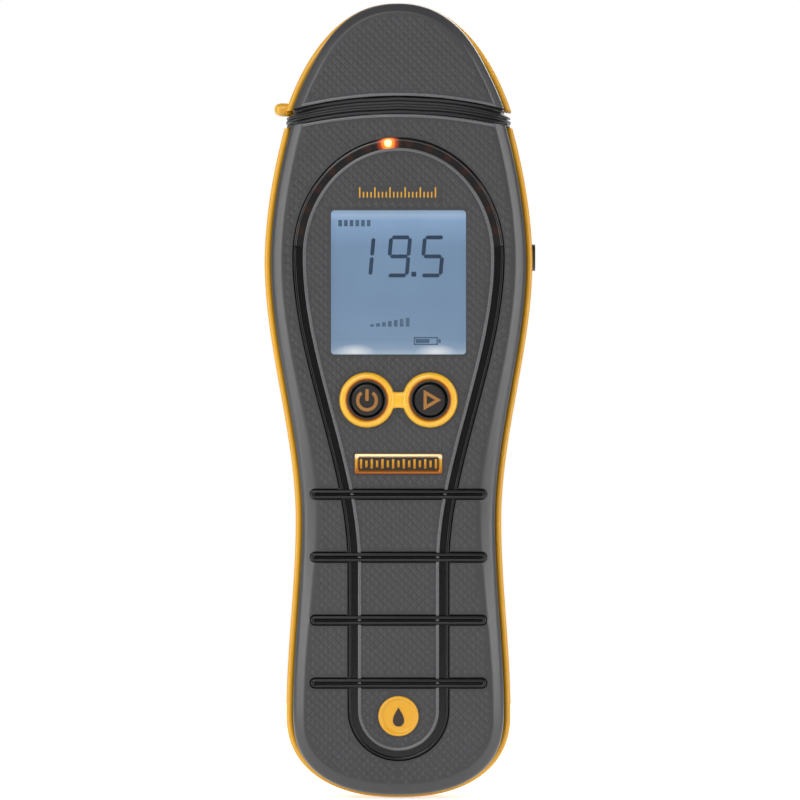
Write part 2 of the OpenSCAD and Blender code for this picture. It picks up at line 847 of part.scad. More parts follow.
// Coil of a battery spring, swept as a tube of six sides
function spring_ring(x, t) =
    let (a = 360 * t,
         z = cell_z - spring_room + spring_wire + (spring_room - 2.4 * spring_wire) * t / spring_turns)
    [for (j = [0:5])
        [x + (spring_r + spring_wire * cos(60 * j)) * cos(a),
         cell_y + (spring_r + spring_wire * cos(60 * j)) * sin(a),
         z + spring_wire * sin(60 * j)]];
module coil(x) {
    count = spring_turns * 14;
    rings = [for (k = [0:count]) spring_ring(x, k * spring_turns / count)];
    polyhedron(
        points = [for (r = rings) for (p = r) p],
        faces = concat(
            [[0, 1, 2, 3, 4, 5], [for (j = [5:-1:0]) count * 6 + j]],
            [for (k = [0:count - 1]) for (j = [0:5])
                [k * 6 + j, (k + 1) * 6 + j, (k + 1) * 6 + (j + 1) % 6]],
            [for (k = [0:count - 1]) for (j = [0:5])
                [k * 6 + j, (k + 1) * 6 + (j + 1) % 6, k * 6 + (j + 1) % 6]]
        )
    );
}
module battery_springs() {
    color(steel) for (s = [-1, 1]) coil(s * cell_x);
}

module battery_contacts() {
    low = bay_low_z + wall + fit;
    high = cell_z + cell_len + fit;
    color(steel) {
        block([-bay_half + 1, cell_y - contact_half, low],
              [bay_half - 1, cell_y + contact_half, low + contact_t - 2 * fit]);
        for (x = [-cell_x, cell_x])
            block([x - contact_half, cell_y - contact_half, high],
                  [x + contact_half, cell_y + contact_half, high + contact_t - 2 * fit]);
    }
}

// A needle with its collar and ground point
module needle(s) {
    x = s * pin_pitch / 2;
    color(steel) {
        rod_z(x, 0, stud_top_z + fit, needle_z - needle_point, needle_d / 2);
        translate([x, 0, needle_z - needle_point])
            cylinder(r1 = needle_d / 2, r2 = 0.1, h = needle_point);
    }
}
module pin_left() { needle(-1); }
module pin_right() { needle(1); }

module collet_nuts() {
    color("#C8C4BA") for (s = [-1, 1]) translate([s * pin_pitch / 2, 0, 0]) difference() {
        union() {
            translate([0, 0, nose_top_z + fit]) cylinder(r = nut_r, h = nut_grip_h);
            translate([0, 0, nose_top_z + nut_grip_h])
                cylinder(r1 = nut_r, r2 = nut_tip_r, h = nut_top_z - nose_top_z - nut_grip_h);
        }
        translate([0, 0, nose_top_z - 1]) cylinder(r = stud_r + fit, h = stud_top_z - nose_top_z + 1 + fit);
        translate([0, 0, nose_top_z]) cylinder(r = needle_d / 2 + fit, h = 20);
    }
}

module pin_studs() {
    color(brass) for (s = [-1, 1]) rod_z(s * pin_pitch / 2, 0, stud_low_z, stud_top_z, stud_r);
}

// Strips from the studs down to the board
module pin_terminals() {
    y = board_y + board_t + fit;
    z = stud_low_z - fit;
    color(brass) for (s = [-1, 1]) {
        x = s * pin_pitch / 2;
        block([x - 1.5, y, z - 0.5], [x + 1.5, 2, z]);
        block([x - 1.5, y, z - 4], [x + 1.5, y + 0.5, z]);
    }
}

front_case();
rear_case();
battery_door();
case_screws();
neck_collar();
nose_block();
cap_front();
cap_rear();
channel_trim();
grip_rung_1();
grip_rung_2();
grip_rung_3();
grip_rung_4();
name_plate();
round_badge();
button_bezel();
display_window();
lcd_glass();
lcd_backlight();
lcd_connector();
led_window();
led_board();
status_leds();
lit_led();
power_button();
select_button();
power_plunger();
select_plunger();
switch_housings();
main_pcb();
circuit_chips();
beeper();
board_header();
pcb_screws();
probe_socket();
socket_nut();
battery_cell_left();
battery_cell_right();
battery_springs();
battery_contacts();
pin_left();
pin_right();
collet_nuts();
pin_studs();
pin_terminals();
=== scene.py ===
import math

import bmesh
import bpy
import numpy as np
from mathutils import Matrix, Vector


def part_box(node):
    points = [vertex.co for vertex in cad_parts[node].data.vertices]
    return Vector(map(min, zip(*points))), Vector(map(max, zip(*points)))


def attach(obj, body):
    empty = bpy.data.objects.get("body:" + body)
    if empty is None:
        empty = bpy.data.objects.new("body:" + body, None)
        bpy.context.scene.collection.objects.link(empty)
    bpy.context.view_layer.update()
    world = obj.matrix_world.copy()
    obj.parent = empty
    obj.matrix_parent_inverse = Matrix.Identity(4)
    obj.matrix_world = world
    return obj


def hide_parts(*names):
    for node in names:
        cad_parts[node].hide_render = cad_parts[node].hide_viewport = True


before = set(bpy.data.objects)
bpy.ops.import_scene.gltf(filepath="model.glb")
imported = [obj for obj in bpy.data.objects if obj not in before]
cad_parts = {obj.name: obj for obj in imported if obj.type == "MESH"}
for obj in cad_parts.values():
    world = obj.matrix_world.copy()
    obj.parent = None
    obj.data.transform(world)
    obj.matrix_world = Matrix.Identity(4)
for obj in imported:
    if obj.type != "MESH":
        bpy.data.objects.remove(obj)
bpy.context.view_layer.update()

mm = 0.001
pi = math.pi


def boxMm(node):
    # lowest and highest corner of a frame node, in millimetres
    low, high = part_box(node)
    return np.array(low) / mm, np.array(high) / mm


# sizes that the pieces share, taken from the frame
frontBox, rearBox, capBox, doorBox = map(
    boxMm, ("front_case", "rear_case", "cap_rear", "battery_door"))
windowBox, glassBox, plateBox, badgeBox = map(
    boxMm, ("display_window", "lcd_glass", "name_plate", "round_badge"))
bezelBox, keyBox, socketBox, trimBox = map(
    boxMm, ("button_bezel", "power_button", "socket_nut", "channel_trim"))
leftCell, rightCell = boxMm("battery_cell_left"), boxMm("battery_cell_right")

faceY = frontBox[0][1]                 # front face
rimY, backY = rearBox[0][1], rearBox[1][1]   # where the two shells meet, and the back
caseTop = rearBox[1][2]                # middle of the shoulder
wideHalf = rearBox[1][0]
rimShow = wideHalf - frontBox[1][0]
flankWide = 2.9                        # width of the bevelled flank seen from the front

caseShape = {
    "waistHalf": 22.65, "footHalf": 24.7, "footRise": 18.3, "waistZ": 61.0,
    "wideZ": caseTop - 32.2, "shoulderRise": 32.2, "shoulderDrop": 5.2,
    "sideDrop": 2.9, "footPower": 2.3, "wall": 2.0,
}
capShape = {"rise": capBox[1][2] - caseShape["wideZ"], "power": 2.15, "edgeZ": caseTop + 4, "edgeDrop": 3.2}
keyholeShape = {
    "wide": trimBox[1][0] + 0.05, "narrow": 11.2, "groove": 2.4, "z": caseShape["wideZ"] + 1,
    "rise": 26.1, "flareZ": 51.0, "footZ": 19.5, "lampTail": 5.0,
}
shoulderHalf = wideHalf - caseShape["shoulderDrop"]
wideZ = caseShape["wideZ"]


def smooth(t):
    # 3t^2 - 2t^3, held between 0 and 1
    t = np.clip(t, 0, 1)
    return t * t * (3 - 2 * t)


def signedPower(value, power):
    return np.sign(value) * np.abs(value) ** power


def roundAngles(count):
    return np.linspace(0, 2 * pi, count, endpoint=False)


def quarter(t):
    return np.sin(t * pi / 2), np.cos(t * pi / 2)


def caseHalf(z):
    # foot to waist and waist to widest point are smooth steps, and a power of 1.8 closes to the shoulder
    c = caseShape
    foot, waist, waistZ = c["footHalf"], c["waistHalf"], c["waistZ"]
    low = foot + (waist - foot) * smooth((z - c["footRise"]) / (waistZ - c["footRise"]))
    mid = waist + (wideHalf - waist) * smooth((z - waistZ) / (wideZ - waistZ))
    top = wideHalf - c["shoulderDrop"] * np.clip((z - wideZ) / c["shoulderRise"], 0, 2) ** 1.8
    return np.where(z < waistZ, low, np.where(z < wideZ, mid, top))


def shoulderZ(x, lower=0.0):
    return caseTop - lower - caseShape["sideDrop"] * (x / shoulderHalf) ** 2


def capEdgeZ(x):
    return capShape["edgeZ"] - capShape["edgeDrop"] * (x / shoulderHalf) ** 2


def evenly(points, count):
    # the same open line with its points at even distances along it
    step = np.hypot(*np.diff(points, axis=0).T)
    along = np.concatenate([[0], np.cumsum(step)])
    want = np.linspace(0, along[-1], count)
    return np.stack([np.interp(want, along, points[:, 0]), np.interp(want, along, points[:, 1])], 1)


def closedFromHalf(half):
    # right half from the bottom middle to the top middle, then its mirror image back down
    return np.concatenate([half, half[-2:0:-1] * [-1, 1]])


def caseOutline(inset=0.0, lower=0.0, sideCount=190, topCount=26):
    # superellipse foot, caseHalf up the side, parabola over the shoulder
    c = caseShape
    t = np.linspace(0, pi / 2, 60)
    foot = np.stack([
        (c["footHalf"] - inset) * np.sin(t) ** (2 / c["footPower"]),
        c["footRise"] - (c["footRise"] - inset) * np.cos(t) ** (2 / c["footPower"])], 1)
    endZ = shoulderZ(shoulderHalf - inset, lower)
    z = np.linspace(c["footRise"], endZ, 160)[1:]
    side = np.stack([caseHalf(z) - inset, z], 1)
    side = evenly(np.concatenate([foot, side]), sideCount)
    x = np.linspace(side[-1][0], 0, topCount)[1:]
    return closedFromHalf(np.concatenate([side, np.stack([x, shoulderZ(x, lower)], 1)]))


def capOutline(inset=0.0, sideCount=90, edgeCount=30):
    # parabola along the lower edge, then a superellipse dome
    c = capShape
    sideZ = capEdgeZ(shoulderHalf - inset)
    low = math.asin(((sideZ - wideZ) / (c["rise"] - inset)) ** (c["power"] / 2))
    t = np.linspace(low, pi / 2, 120)
    dome = np.stack([
        (wideHalf - inset) * np.cos(t) ** (2 / c["power"]),
        wideZ + (c["rise"] - inset) * np.sin(t) ** (2 / c["power"])], 1)
    dome = evenly(dome, sideCount)
    x = np.linspace(0, dome[0][0], edgeCount)[:-1]
    return closedFromHalf(np.concatenate([np.stack([x, capEdgeZ(x)], 1), dome]))


def keyholeLine(inset, count):
    # right half of the keyhole, offset inwards: round foot, smooth-step flare, quarter ellipse at the top
    k = keyholeShape
    narrow, wide, rise = k["narrow"] - inset, k["wide"] - inset, k["rise"] - inset
    t = np.linspace(-pi / 2, 0, 30)[:-1]
    foot = np.stack([narrow * np.cos(t), k["footZ"] + narrow * np.sin(t)], 1)
    z = np.linspace(k["footZ"], k["z"], 120)[:-1]
    flare = smooth((z - k["flareZ"]) / (k["z"] - k["flareZ"]))
    side = np.stack([narrow + (k["wide"] - k["narrow"]) * flare, z], 1)
    t = np.linspace(0, pi / 2, 60)
    top = np.stack([wide * np.cos(t), k["z"] + rise * np.sin(t)], 1)
    return evenly(np.concatenate([foot, side, top]), count)


# mesh helpers

def atDepth(loop, y):
    # a loop in x and z, placed at one y
    return np.stack([loop[:, 0], np.full(len(loop), y), loop[:, 1]], 1)


def gridFaces(rows, cols, wrapRows, wrapCols):
    r, c = np.meshgrid(np.arange(rows - (not wrapRows)), np.arange(cols - (not wrapCols)), indexing="ij")
    r1, c1 = (r + 1) % rows, (c + 1) % cols
    return np.stack([r * cols + c, r1 * cols + c, r1 * cols + c1, r * cols + c1], -1).reshape(-1, 4)


def linked(name, mesh, sharp):
    piece = bpy.data.objects.new(name, mesh)
    bpy.context.scene.collection.objects.link(piece)
    cleanMesh(piece, sharp)
    return piece


def newMesh(name, grids, sharp=38.0):
    # grids: (points[rows, cols, 3] in mm, wrapRows, wrapCols), all in one mesh
    verts, faces, offset = [], [], 0
    for points, wrapRows, wrapCols in grids:
        rows, cols = points.shape[:2]
        faces.append(gridFaces(rows, cols, wrapRows, wrapCols) + offset)
        verts.append(points.reshape(-1, 3))
        offset += rows * cols
    verts, faces = np.concatenate(verts) * mm, np.concatenate(faces)
    mesh = bpy.data.meshes.new(name)
    mesh.vertices.add(len(verts))
    mesh.vertices.foreach_set("co", verts.ravel())
    mesh.loops.add(faces.size)
    mesh.loops.foreach_set("vertex_index", faces.ravel())
    mesh.polygons.add(len(faces))
    mesh.polygons.foreach_set("loop_start", np.arange(0, faces.size, 4))
    mesh.update(calc_edges=True)
    mesh.validate()
    return linked(name, mesh, sharp)


def capped(grid):
    # closes both ends of a tube of rows with their middle points
    first, last = grid[:1].mean(1, keepdims=True), grid[-1:].mean(1, keepdims=True)
    cols = grid.shape[1]
    return np.concatenate([np.repeat(first, cols, 1), grid, np.repeat(last, cols, 1)])


def tube(name, grid, sharp=38.0):
    return newMesh(name, [(capped(np.array(grid)), False, True)], sharp)


def cleanMesh(piece, sharp=38.0):
    # merges equal points, turns the faces outwards and marks the edges that stay crisp
    bm = bmesh.new()
    bm.from_mesh(piece.data)
    bmesh.ops.remove_doubles(bm, verts=bm.verts, dist=2e-6)
    bmesh.ops.dissolve_degenerate(bm, edges=bm.edges, dist=1e-6)
    bmesh.ops.recalc_face_normals(bm, faces=bm.faces)
    limit = math.radians(sharp)
    for edge in bm.edges:
        edge.smooth = len(edge.link_faces) == 2 and edge.calc_face_angle(0) < limit
    for face in bm.faces:
        face.smooth = True
    bm.to_mesh(piece.data)
    bm.free()


def combine(piece, cutter, operation="DIFFERENCE"):
    # cuts or joins with another closed mesh and removes it
    modifier = piece.modifiers.new("combine", "BOOLEAN")
    modifier.operation = operation
    modifier.solver = "MANIFOLD"
    modifier.object = cutter
    graph = bpy.context.evaluated_depsgraph_get()
    mesh = bpy.data.meshes.new_from_object(piece.evaluated_get(graph))
    piece.modifiers.clear()
    old = piece.data
    piece.data = mesh
    bpy.data.meshes.remove(old)
    bpy.data.objects.remove(cutter)
    return piece


def fromFaces(name, verts, faces, sharp=38.0):
    mesh = bpy.data.meshes.new(name)
    mesh.from_pydata((np.array(verts) * mm).tolist(), [], faces)
    return linked(name, mesh, sharp)


def solidPrism(name, rows):
    # two loops of points and the flat faces that close them
    n = len(rows[0])
    sides = [(k, (k + 1) % n, n + (k + 1) % n, n + k) for k in range(n)]
    return fromFaces(name, np.concatenate(rows), [*sides, tuple(range(n))[::-1], tuple(range(n, 2 * n))])


def prism(name, outline, y0, y1):
    # outline in x and z, carried straight along y
    loop = np.array(outline, float)
    return solidPrism(name, [atDepth(loop, y) for y in (y0, y1)])


def blockBetween(name, x0, x1, z0, z1, y0, y1):
    return prism(name, [(x0, z0), (x1, z0), (x1, z1), (x0, z1)], y0, y1)


def ringPrism(name, outer, inner, y0, y1):
    # closed band between two outlines with as many points each
    rows = [atDepth(p, y) for p, y in ((outer, y0), (outer, y1), (inner, y1), (inner, y0))]
    return newMesh(name, [(np.array(rows), True, True)])


def roundedRect(width, height, radius, x=0.0, z=0.0, count=9):
    # four quarter circles joined by straight sides
    out = []
    for k, (sx, sz) in enumerate([(1, -1), (1, 1), (-1, 1), (-1, -1)]):
        t = np.linspace(-pi / 2, 0, count) + k * pi / 2
        cx, cz = x + sx * (width / 2 - radius), z + sz * (height / 2 - radius)
        out.append(np.stack([cx + radius * np.cos(t), cz + radius * np.sin(t)], 1))
    return np.concatenate(out)


def circle(radius, x=0.0, z=0.0, count=64):
    t = roundAngles(count)
    return np.stack([x + radius * np.cos(t), z + radius * np.sin(t)], 1)


def fanSolid(name, outline, spine, rings, faceRows):
    # rings: (y, inset) from the front round to the back; each flat end fans in to an upright line, the spine
    loops = [(y, outline(inset)) for y, inset in rings]
    rows = []

    def fan(y, loop, shares):
        middle = np.stack([np.zeros(len(loop)), np.clip(loop[:, 1], *spine)], 1)
        for share in shares:
            rows.append(atDepth(middle + (loop - middle) * share, y))

    fan(*loops[0], np.linspace(0, 1, faceRows[0] + 1)[:-1])
    rows += [atDepth(loop, y) for y, loop in loops]
    fan(*loops[-1], np.linspace(1, 0, faceRows[1] + 1)[1:])
    return newMesh(name, [(np.array(rows), False, True)])


def sweep(path, section, closed):
    # section (across, up) carried along a path in x and z; across lies at right angles to the path
    path, section = np.array(path, float), np.array(section, float)
    if closed:
        ahead, behind = np.roll(path, -1, 0), np.roll(path, 1, 0)
    else:
        ahead, behind = np.vstack([path[1:], path[-1:]]), np.vstack([path[:1], path[:-1]])
    along = ahead - behind
    along /= np.linalg.norm(along, axis=1, keepdims=True)
    across = np.stack([along[:, 1], -along[:, 0]], 1)
    x = path[:, None, 0] + across[:, None, 0] * section[None, :, 0]
    z = path[:, None, 1] + across[:, None, 1] * section[None, :, 0]
    y = np.broadcast_to(faceY - section[None, :, 1], x.shape)
    return np.stack([x, y, z], -1)


def revolve(x, z, profile, count=72):
    # profile (radius, height above the face) turned about an axis along y
    return np.array([atDepth(circle(radius, x, z, count), faceY - up) for radius, up in profile])


# colour and material helpers

def hexColour(text):
    # sRGB hex to linear RGBA
    c = np.array([int(text[k:k + 2], 16) for k in (1, 3, 5)]) / 255
    c = np.where(c <= 0.04045, c / 12.92, ((c + 0.055) / 1.055) ** 2.4)
    return (*map(float, c), 1.0)


def addNode(tree, kind, settings=None, links=None, output=0):
    # settings: the node's own values, its sockets or, as "stops", (place, colour or grey)
    node = tree.nodes.new("ShaderNode" + kind)
    for key, value in (settings or {}).items():
        if key == "stops":
            items = node.color_ramp.elements
            while len(items) < len(value):
                items.new(0.5)
            for item, (place, colour) in zip(items, value):
                item.position = place
                item.color = hexColour(colour) if isinstance(colour, str) else (colour, colour, colour, 1)
        elif isinstance(key, str) and hasattr(node, key) and key not in node.inputs:
            setattr(node, key, value)
        else:
            node.inputs[key].default_value = value
    for key, source in (links or {}).items():
        tree.links.new(source, node.inputs[key])
    return node.outputs[output]


def newMaterial(name, settings):
    material = bpy.data.materials.new(name)
    material.use_nodes = True
    tree = material.node_tree
    shader = tree.nodes["Principled BSDF"]
    for key, value in settings.items():
        shader.inputs[key].default_value = value
    return material, tree, shader, addNode(tree, "TexCoord", output="Object")


def paint(tree, shader, factor, stops, socket="Base Color"):
    # leads a colour ramp over a factor to one of the shader's sockets
    tree.links.new(addNode(tree, "ValToRGB", {"stops": stops}, {"Fac": factor}), shader.inputs[socket])


def heightShare(tree, where, low, high):
    # 0 to 1 between two heights in mm
    z = addNode(tree, "SeparateXYZ", links={"Vector": where}, output="Z")
    ends = {"From Min": float(low) * mm, "From Max": float(high) * mm}
    return addNode(tree, "MapRange", ends, {"Value": z})


def nearest(tree, where, places, reach, stretch=(1, 1, 1)):
    # 0 to 1 over the distances in reach, in mm, from the nearest of some points, with the axes stretched
    near = None
    if stretch != (1, 1, 1):
        where = addNode(tree, "VectorMath", {"operation": "MULTIPLY", 1: stretch}, {0: where})
    for place in places:
        point = tuple(float(v * s) * mm for v, s in zip(place, stretch))
        away = addNode(tree, "VectorMath", {"operation": "DISTANCE", 1: point}, {0: where}, "Value")
        near = away if near is None else addNode(tree, "Math", {"operation": "MINIMUM"}, {0: near, 1: away})
    return addNode(tree, "MapRange", {"From Min": reach[0] * mm, "From Max": reach[1] * mm}, {"Value": near})


def mottled(name, dark, light, settings, grain, relief, roughSpread=0.06):
    # base for moulded and metal finishes: slow colour drift, fine grain in roughness and bump
    # grain: size in mm of the finest marks; relief: their height in mm
    material, tree, shader, where = newMaterial(name, settings)
    drift = addNode(tree, "TexNoise", {"Scale": 60.0, "Detail": 3.0}, {"Vector": where}, "Fac")
    fine = addNode(tree, "TexNoise", {"Scale": 1 / (grain * mm), "Detail": 2.0}, {"Vector": where}, "Fac")
    paint(tree, shader, drift, [(0.3, dark), (0.7, light)])
    rough = settings["Roughness"]
    paint(tree, shader, fine, [(0.3, rough - roughSpread), (0.7, rough + roughSpread)], "Roughness")
    bump = addNode(tree, "Bump", {"Strength": 1.0, "Distance": relief * mm}, {"Height": fine})
    tree.links.new(bump, shader.inputs["Normal"])
    return material, tree, shader, where


def setMaterial(piece, material):
    piece.data.materials.clear()
    piece.data.materials.append(material)
    return piece


def settle(piece, body, slot, material, *nodes):
    # gives a piece its body, finish and the frame nodes that it stands for
    setMaterial(piece, material)
    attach(piece, body)
    if nodes:
        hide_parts(*nodes)
    return piece


def texturedAbs():
    # charcoal ABS from an etched tool: dull on the flat face, a little smoother round the flanks, where a
    # paler colour is painted on as a highlight
    material, tree, shader = mottled(
        "charcoalTexturedAbs", "#1E1E20", "#232325", {"Roughness": 0.5, "IOR": 1.54}, 0.22, 0.02)[:3]
    normal = addNode(tree, "NewGeometry", output="Normal")
    depth = addNode(tree, "SeparateXYZ", links={"Vector": normal}, output="Y")
    facing = addNode(tree, "Math", {"operation": "ABSOLUTE"}, {0: depth})
    flat = addNode(tree, "ValToRGB", {"stops": [(0.9, 0.0), (0.995, 1.0)]}, {"Fac": facing})
    flatColour = shader.inputs["Base Color"].links[0].from_socket
    # painted highlight: the flanks, picked out by their normals, take a paler colour than the flat face
    sides = {"data_type": "RGBA", "A": hexColour("#2C2C2E")}
    colourWithPaintedFlankHighlight = addNode(tree, "Mix", sides, {"Factor": flat, "B": flatColour}, "Result")
    tree.links.new(colourWithPaintedFlankHighlight, shader.inputs["Base Color"])
    rough = addNode(tree, "MapRange", {"To Min": 0.36, "To Max": 0.52}, {"Value": flat})
    tree.links.new(rough, shader.inputs["Roughness"])
    return material


def metal(name, dark, light, rough):
    # turned, plated or rolled metal: fine marks that break up the shine
    return mottled(name, dark, light, {"Roughness": rough, "Metallic": 1.0}, 0.08, 0.004, 0.08)[0]


def bronzePlate():
    # stamped and gilt frame: a painted highlight makes a cream band along its upper edge, and painted shade
    # darkens its lower edge
    material, tree, shader, where = mottled(
        "satinGiltBronze", "#B87A26", "#E3A93F", {"Roughness": 0.3, "Metallic": 0.7}, 0.08, 0.004, 0.08)
    # painted light up the plate's height: shade at the bottom, a cream highlight near the top
    paint(tree, shader, heightShare(tree, where, plateBox[0][2], plateBox[1][2]), [
        (0.0, "#7A3A10"), (0.18, "#B06E1C"), (0.7, "#D8A038"),
        (0.86, "#FBE6C2"), (0.95, "#F0C888"), (1.0, "#A86424")])
    return material


def printedInk(name, dark, light, rough=0.45):
    # thin printed ink or paint, slightly uneven
    return mottled(name, dark, light, {"Roughness": rough, "IOR": 1.5}, 0.12, 0.003)[0]


def lcdFace():
    # backlit liquid crystal: blue-grey, brighter along the lower and upper edge where the lamps feed in
    material, tree, shader, where = newMaterial(
        "backlitLiquidCrystal", {"Roughness": 0.3, "IOR": 1.5, "Emission Strength": 0.86})
    margin = 1.4
    low, high = windowBox[0][2] + margin, windowBox[1][2] - margin
    colour = addNode(tree, "ValToRGB", {"stops": [
        (0.0, "#B4C8DE"), (0.04, "#93ABC6"), (0.1, "#829DBB"), (0.35, "#7C98B7"), (0.75, "#7C9ABA"),
        (0.93, "#8FAFD4"), (0.97, "#A9C4E4"), (1.0, "#9DB4D0")]},
        {"Fac": heightShare(tree, where, low, high)})
    cloud = addNode(tree, "TexNoise", {"Scale": 90.0, "Detail": 2.0}, {"Vector": where}, "Fac")
    soft = addNode(tree, "ValToRGB", {"stops": [(0.3, 0.93), (0.7, 1.0)]}, {"Fac": cloud})
    # two pale spots along the lower edge, in front of the backlight's lamps
    spots = [(-9.6, 0, low + 0.5), (8.2, 0, low + 0.5)]
    away = nearest(tree, where, spots, (0, 4.6), (1, 0, 2.6))
    pale = {"data_type": "RGBA", "A": hexColour("#F4FAFF")}
    lamps = addNode(tree, "Mix", pale, {"Factor": away, "B": colour}, "Result")
    multiply = {"data_type": "RGBA", "blend_type": "MULTIPLY", "Factor": 1.0}
    glow = addNode(tree, "Mix", multiply, {"A": lamps, "B": soft}, "Result")
    tree.links.new(glow, shader.inputs["Emission Color"])
    dark = addNode(tree, "Mix", {**multiply, "B": (0.1, 0.1, 0.1, 1)}, {"A": glow}, "Result")
    tree.links.new(dark, shader.inputs["Base Color"])
    return material


def clearLens():
    # thin clear acrylic: nearly all passes, a faint surface shine is left
    material, tree, shader, where = newMaterial(
        "clearAcrylicLens", {"Roughness": 0.06, "IOR": 1.49, "Alpha": 0.08})
    smear = addNode(tree, "TexNoise", {"Scale": 120.0, "Detail": 2.0}, {"Vector": where}, "Fac")
    paint(tree, shader, smear, [(0.3, "#0C1014"), (0.7, "#161B20")])
    return material


def smokedLens(lit, unlit, radius):
    # smoked acrylic over the lamps: near black, brown over each unlit lamp, glowing round the lit one
    material, tree, shader, where = newMaterial("smokedAcrylic", {
        "Roughness": 0.14, "IOR": 1.49, "Emission Strength": 3.0, "Coat Weight": 0.3, "Coat Roughness": 0.05})
    paint(tree, shader, nearest(tree, where, [lit], (0, radius)), [
        (0.0, "#FFF0D0"), (0.2, "#FFC27A"), (0.32, "#E8641C"),
        (0.55, "#6A2406"), (0.8, "#1C0701"), (1.0, "#000000")], "Emission Color")
    paint(tree, shader, nearest(tree, where, unlit, (0.5, 1.3)), [(0.0, "#2A120A"), (1.0, "#0C0807")])
    return material


def boardGreen():
    # solder resist over copper: green, with paler tracks
    material, tree, shader, where = mottled(
        "greenSolderResist", "#12482A", "#1A5E36", {"Roughness": 0.3, "IOR": 1.5}, 0.3, 0.004)
    tracks = addNode(tree, "TexBrick", {
        "Scale": 120.0, "Color1": hexColour("#124C2B"), "Color2": hexColour("#1B6A3C"),
        "Mortar": hexColour("#2C8450")}, {"Vector": where}, "Color")
    tree.links.new(tracks, shader.inputs["Base Color"])
    return material


def cellSleeve(box):
    # shrink sleeve of a cell: copper upper third, black lower part, bare steel at its ends
    material, tree, shader, where = mottled("cellShrinkSleeve", "#1C1C1E", "#232326", {
        "Roughness": 0.3, "IOR": 1.5, "Metallic": 0.25}, 0.4, 0.004)
    paint(tree, shader, heightShare(tree, where, box[0][2], box[1][2]), [
        (0.0, "#A9ACB0"), (0.012, "#1C1C1E"), (0.62, "#1D1D20"),
        (0.63, "#C07A35"), (0.965, "#B86F2D"), (0.975, "#B9BCC0")])
    return material


print("materials")
charcoal = texturedAbs()
# the same ABS left smooth on an edge, painted paler and shinier as a highlight: it draws a thin light line
edgeHighlightCharcoal = mottled(
    "charcoalPaintedHighlightAbs", "#48484A", "#525254", {"Roughness": 0.3, "IOR": 1.54}, 0.3, 0.004)[0]
# tops of the moulded diamonds, painted slightly paler as a highlight on the raised relief
relief = mottled("charcoalReliefPaintedHighlightAbs", "#252527", "#29292B", {"Roughness": 0.46, "IOR": 1.54}, 0.2, 0.012)[0]
# amber ABS, satin from the tool, a little deeper where it is thick
amber = mottled("amberSatinAbs", "#C28C0A", "#C6900E", {
    "Roughness": 0.36, "IOR": 1.54, "Subsurface Weight": 0.06, "Subsurface Scale": 0.0008,
    "Subsurface Radius": (1.0, 0.5, 0.15)}, 0.3, 0.012)[0]
# polished black ABS: dark, with a sharp line of light along each bead
black = mottled("polishedBlackAbs", "#050506", "#08080A", {
    "Roughness": 0.16, "IOR": 1.5, "Specular IOR Level": 0.32}, 0.4, 0.003, 0.03)[0]
# glass-filled nylon: near black, dull, with a faint flow grain
nylon = mottled("darkGlassFilledNylon", "#161618", "#1D1D1F", {
    "Roughness": 0.38, "IOR": 1.53, "Specular IOR Level": 0.4}, 0.18, 0.015)[0]
# moulded keys with a soft sheen
keys = mottled("dullBlackKeyPlastic", "#161312", "#1E1A19", {
    "Roughness": 0.36, "IOR": 1.5, "Specular IOR Level": 0.35}, 0.2, 0.008)[0]
bronze = bronzePlate()
amberInk = printedInk("amberInk", "#B07E12", "#BE8C1A")
darkInk = printedInk("darkPlateEnamel", "#1E150C", "#2C1F10", 0.3)
iconInk = printedInk("bronzeKeyInk", "#7A5018", "#8C5E20")
lcdInk = printedInk("liquidCrystalSegment", "#1F3348", "#263C54", 0.3)
lcdFaint = printedInk("fainterCrystalSegment", "#41586F", "#4A627A", 0.3)
crystal = lcdFace()
lens = clearLens()
steel = metal("brightSteel", "#9EA2A6", "#C4C8CC", 0.28)
nickel = metal("nickelPlate", "#B5B0A6", "#D8D4CA", 0.22)
brass = metal("turnedBrass", "#B08A3C", "#D2AC58", 0.28)


def caseRim(z):
    # the amber rim shows less under the foot
    return 0.55 + 0.45 * smooth((z - 1) / 16)


def caseFlank(z):
    # the flank is widest at the waist
    return 0.92 + 0.4 * np.exp(-((z - caseShape["waistZ"]) / 26) ** 2)


def capRim(z):
    return 1 - 0.75 * smooth((z - caseTop - 8) / 16)


def capFlank(z):
    return np.full(np.shape(z), 0.72)


def frontOutline(outline, rimScale, flankScale):
    # outline at a flank width; rim and flank widths vary with height
    def place(width):
        step = 4.0
        outer, inner = outline(0.0), outline(step)
        z = outer[:, 1]
        return outer + (inner - outer) / step * (rimShow * rimScale(z) + width * flankScale(z))[:, None]
    return place


def ringsFront():
    # depth below the face and what is left of the flank's width
    flank = [
        (0.0, flankWide), (0.05, 2.6), (0.35, 2.15), (0.8, 1.5), (1.25, 0.85),
        (1.6, 0.42), (2.05, 0.16), (2.8, 0.0)]
    return [(faceY + depth, width) for depth, width in flank] + [(rimY, 0.0)]


def ringsRear():
    # parting groove, rounded rim, straight side, quarter ellipse round to the back
    bend = 6.2
    rings = [(rimY + 0.8, 1.6), (rimY + 0.25, 1.36), (rimY + 0.04, 1.1), (rimY, 0.8), (rimY + 0.08, 0.45)]
    rings += [(rimY + 0.3, 0.17), (rimY + 0.7, 0.0), (backY - bend, 0.0)]
    for t in np.linspace(0, pi / 2, 10)[1:]:
        rings.append((backY - bend + bend * math.sin(t), bend * (1 - math.cos(t))))
    return rings


def hollowCase(y0, y1, inset):
    wall = caseShape["wall"]
    return prism("hollow", caseOutline(inset + wall, wall, 70, 12), y0, y1)


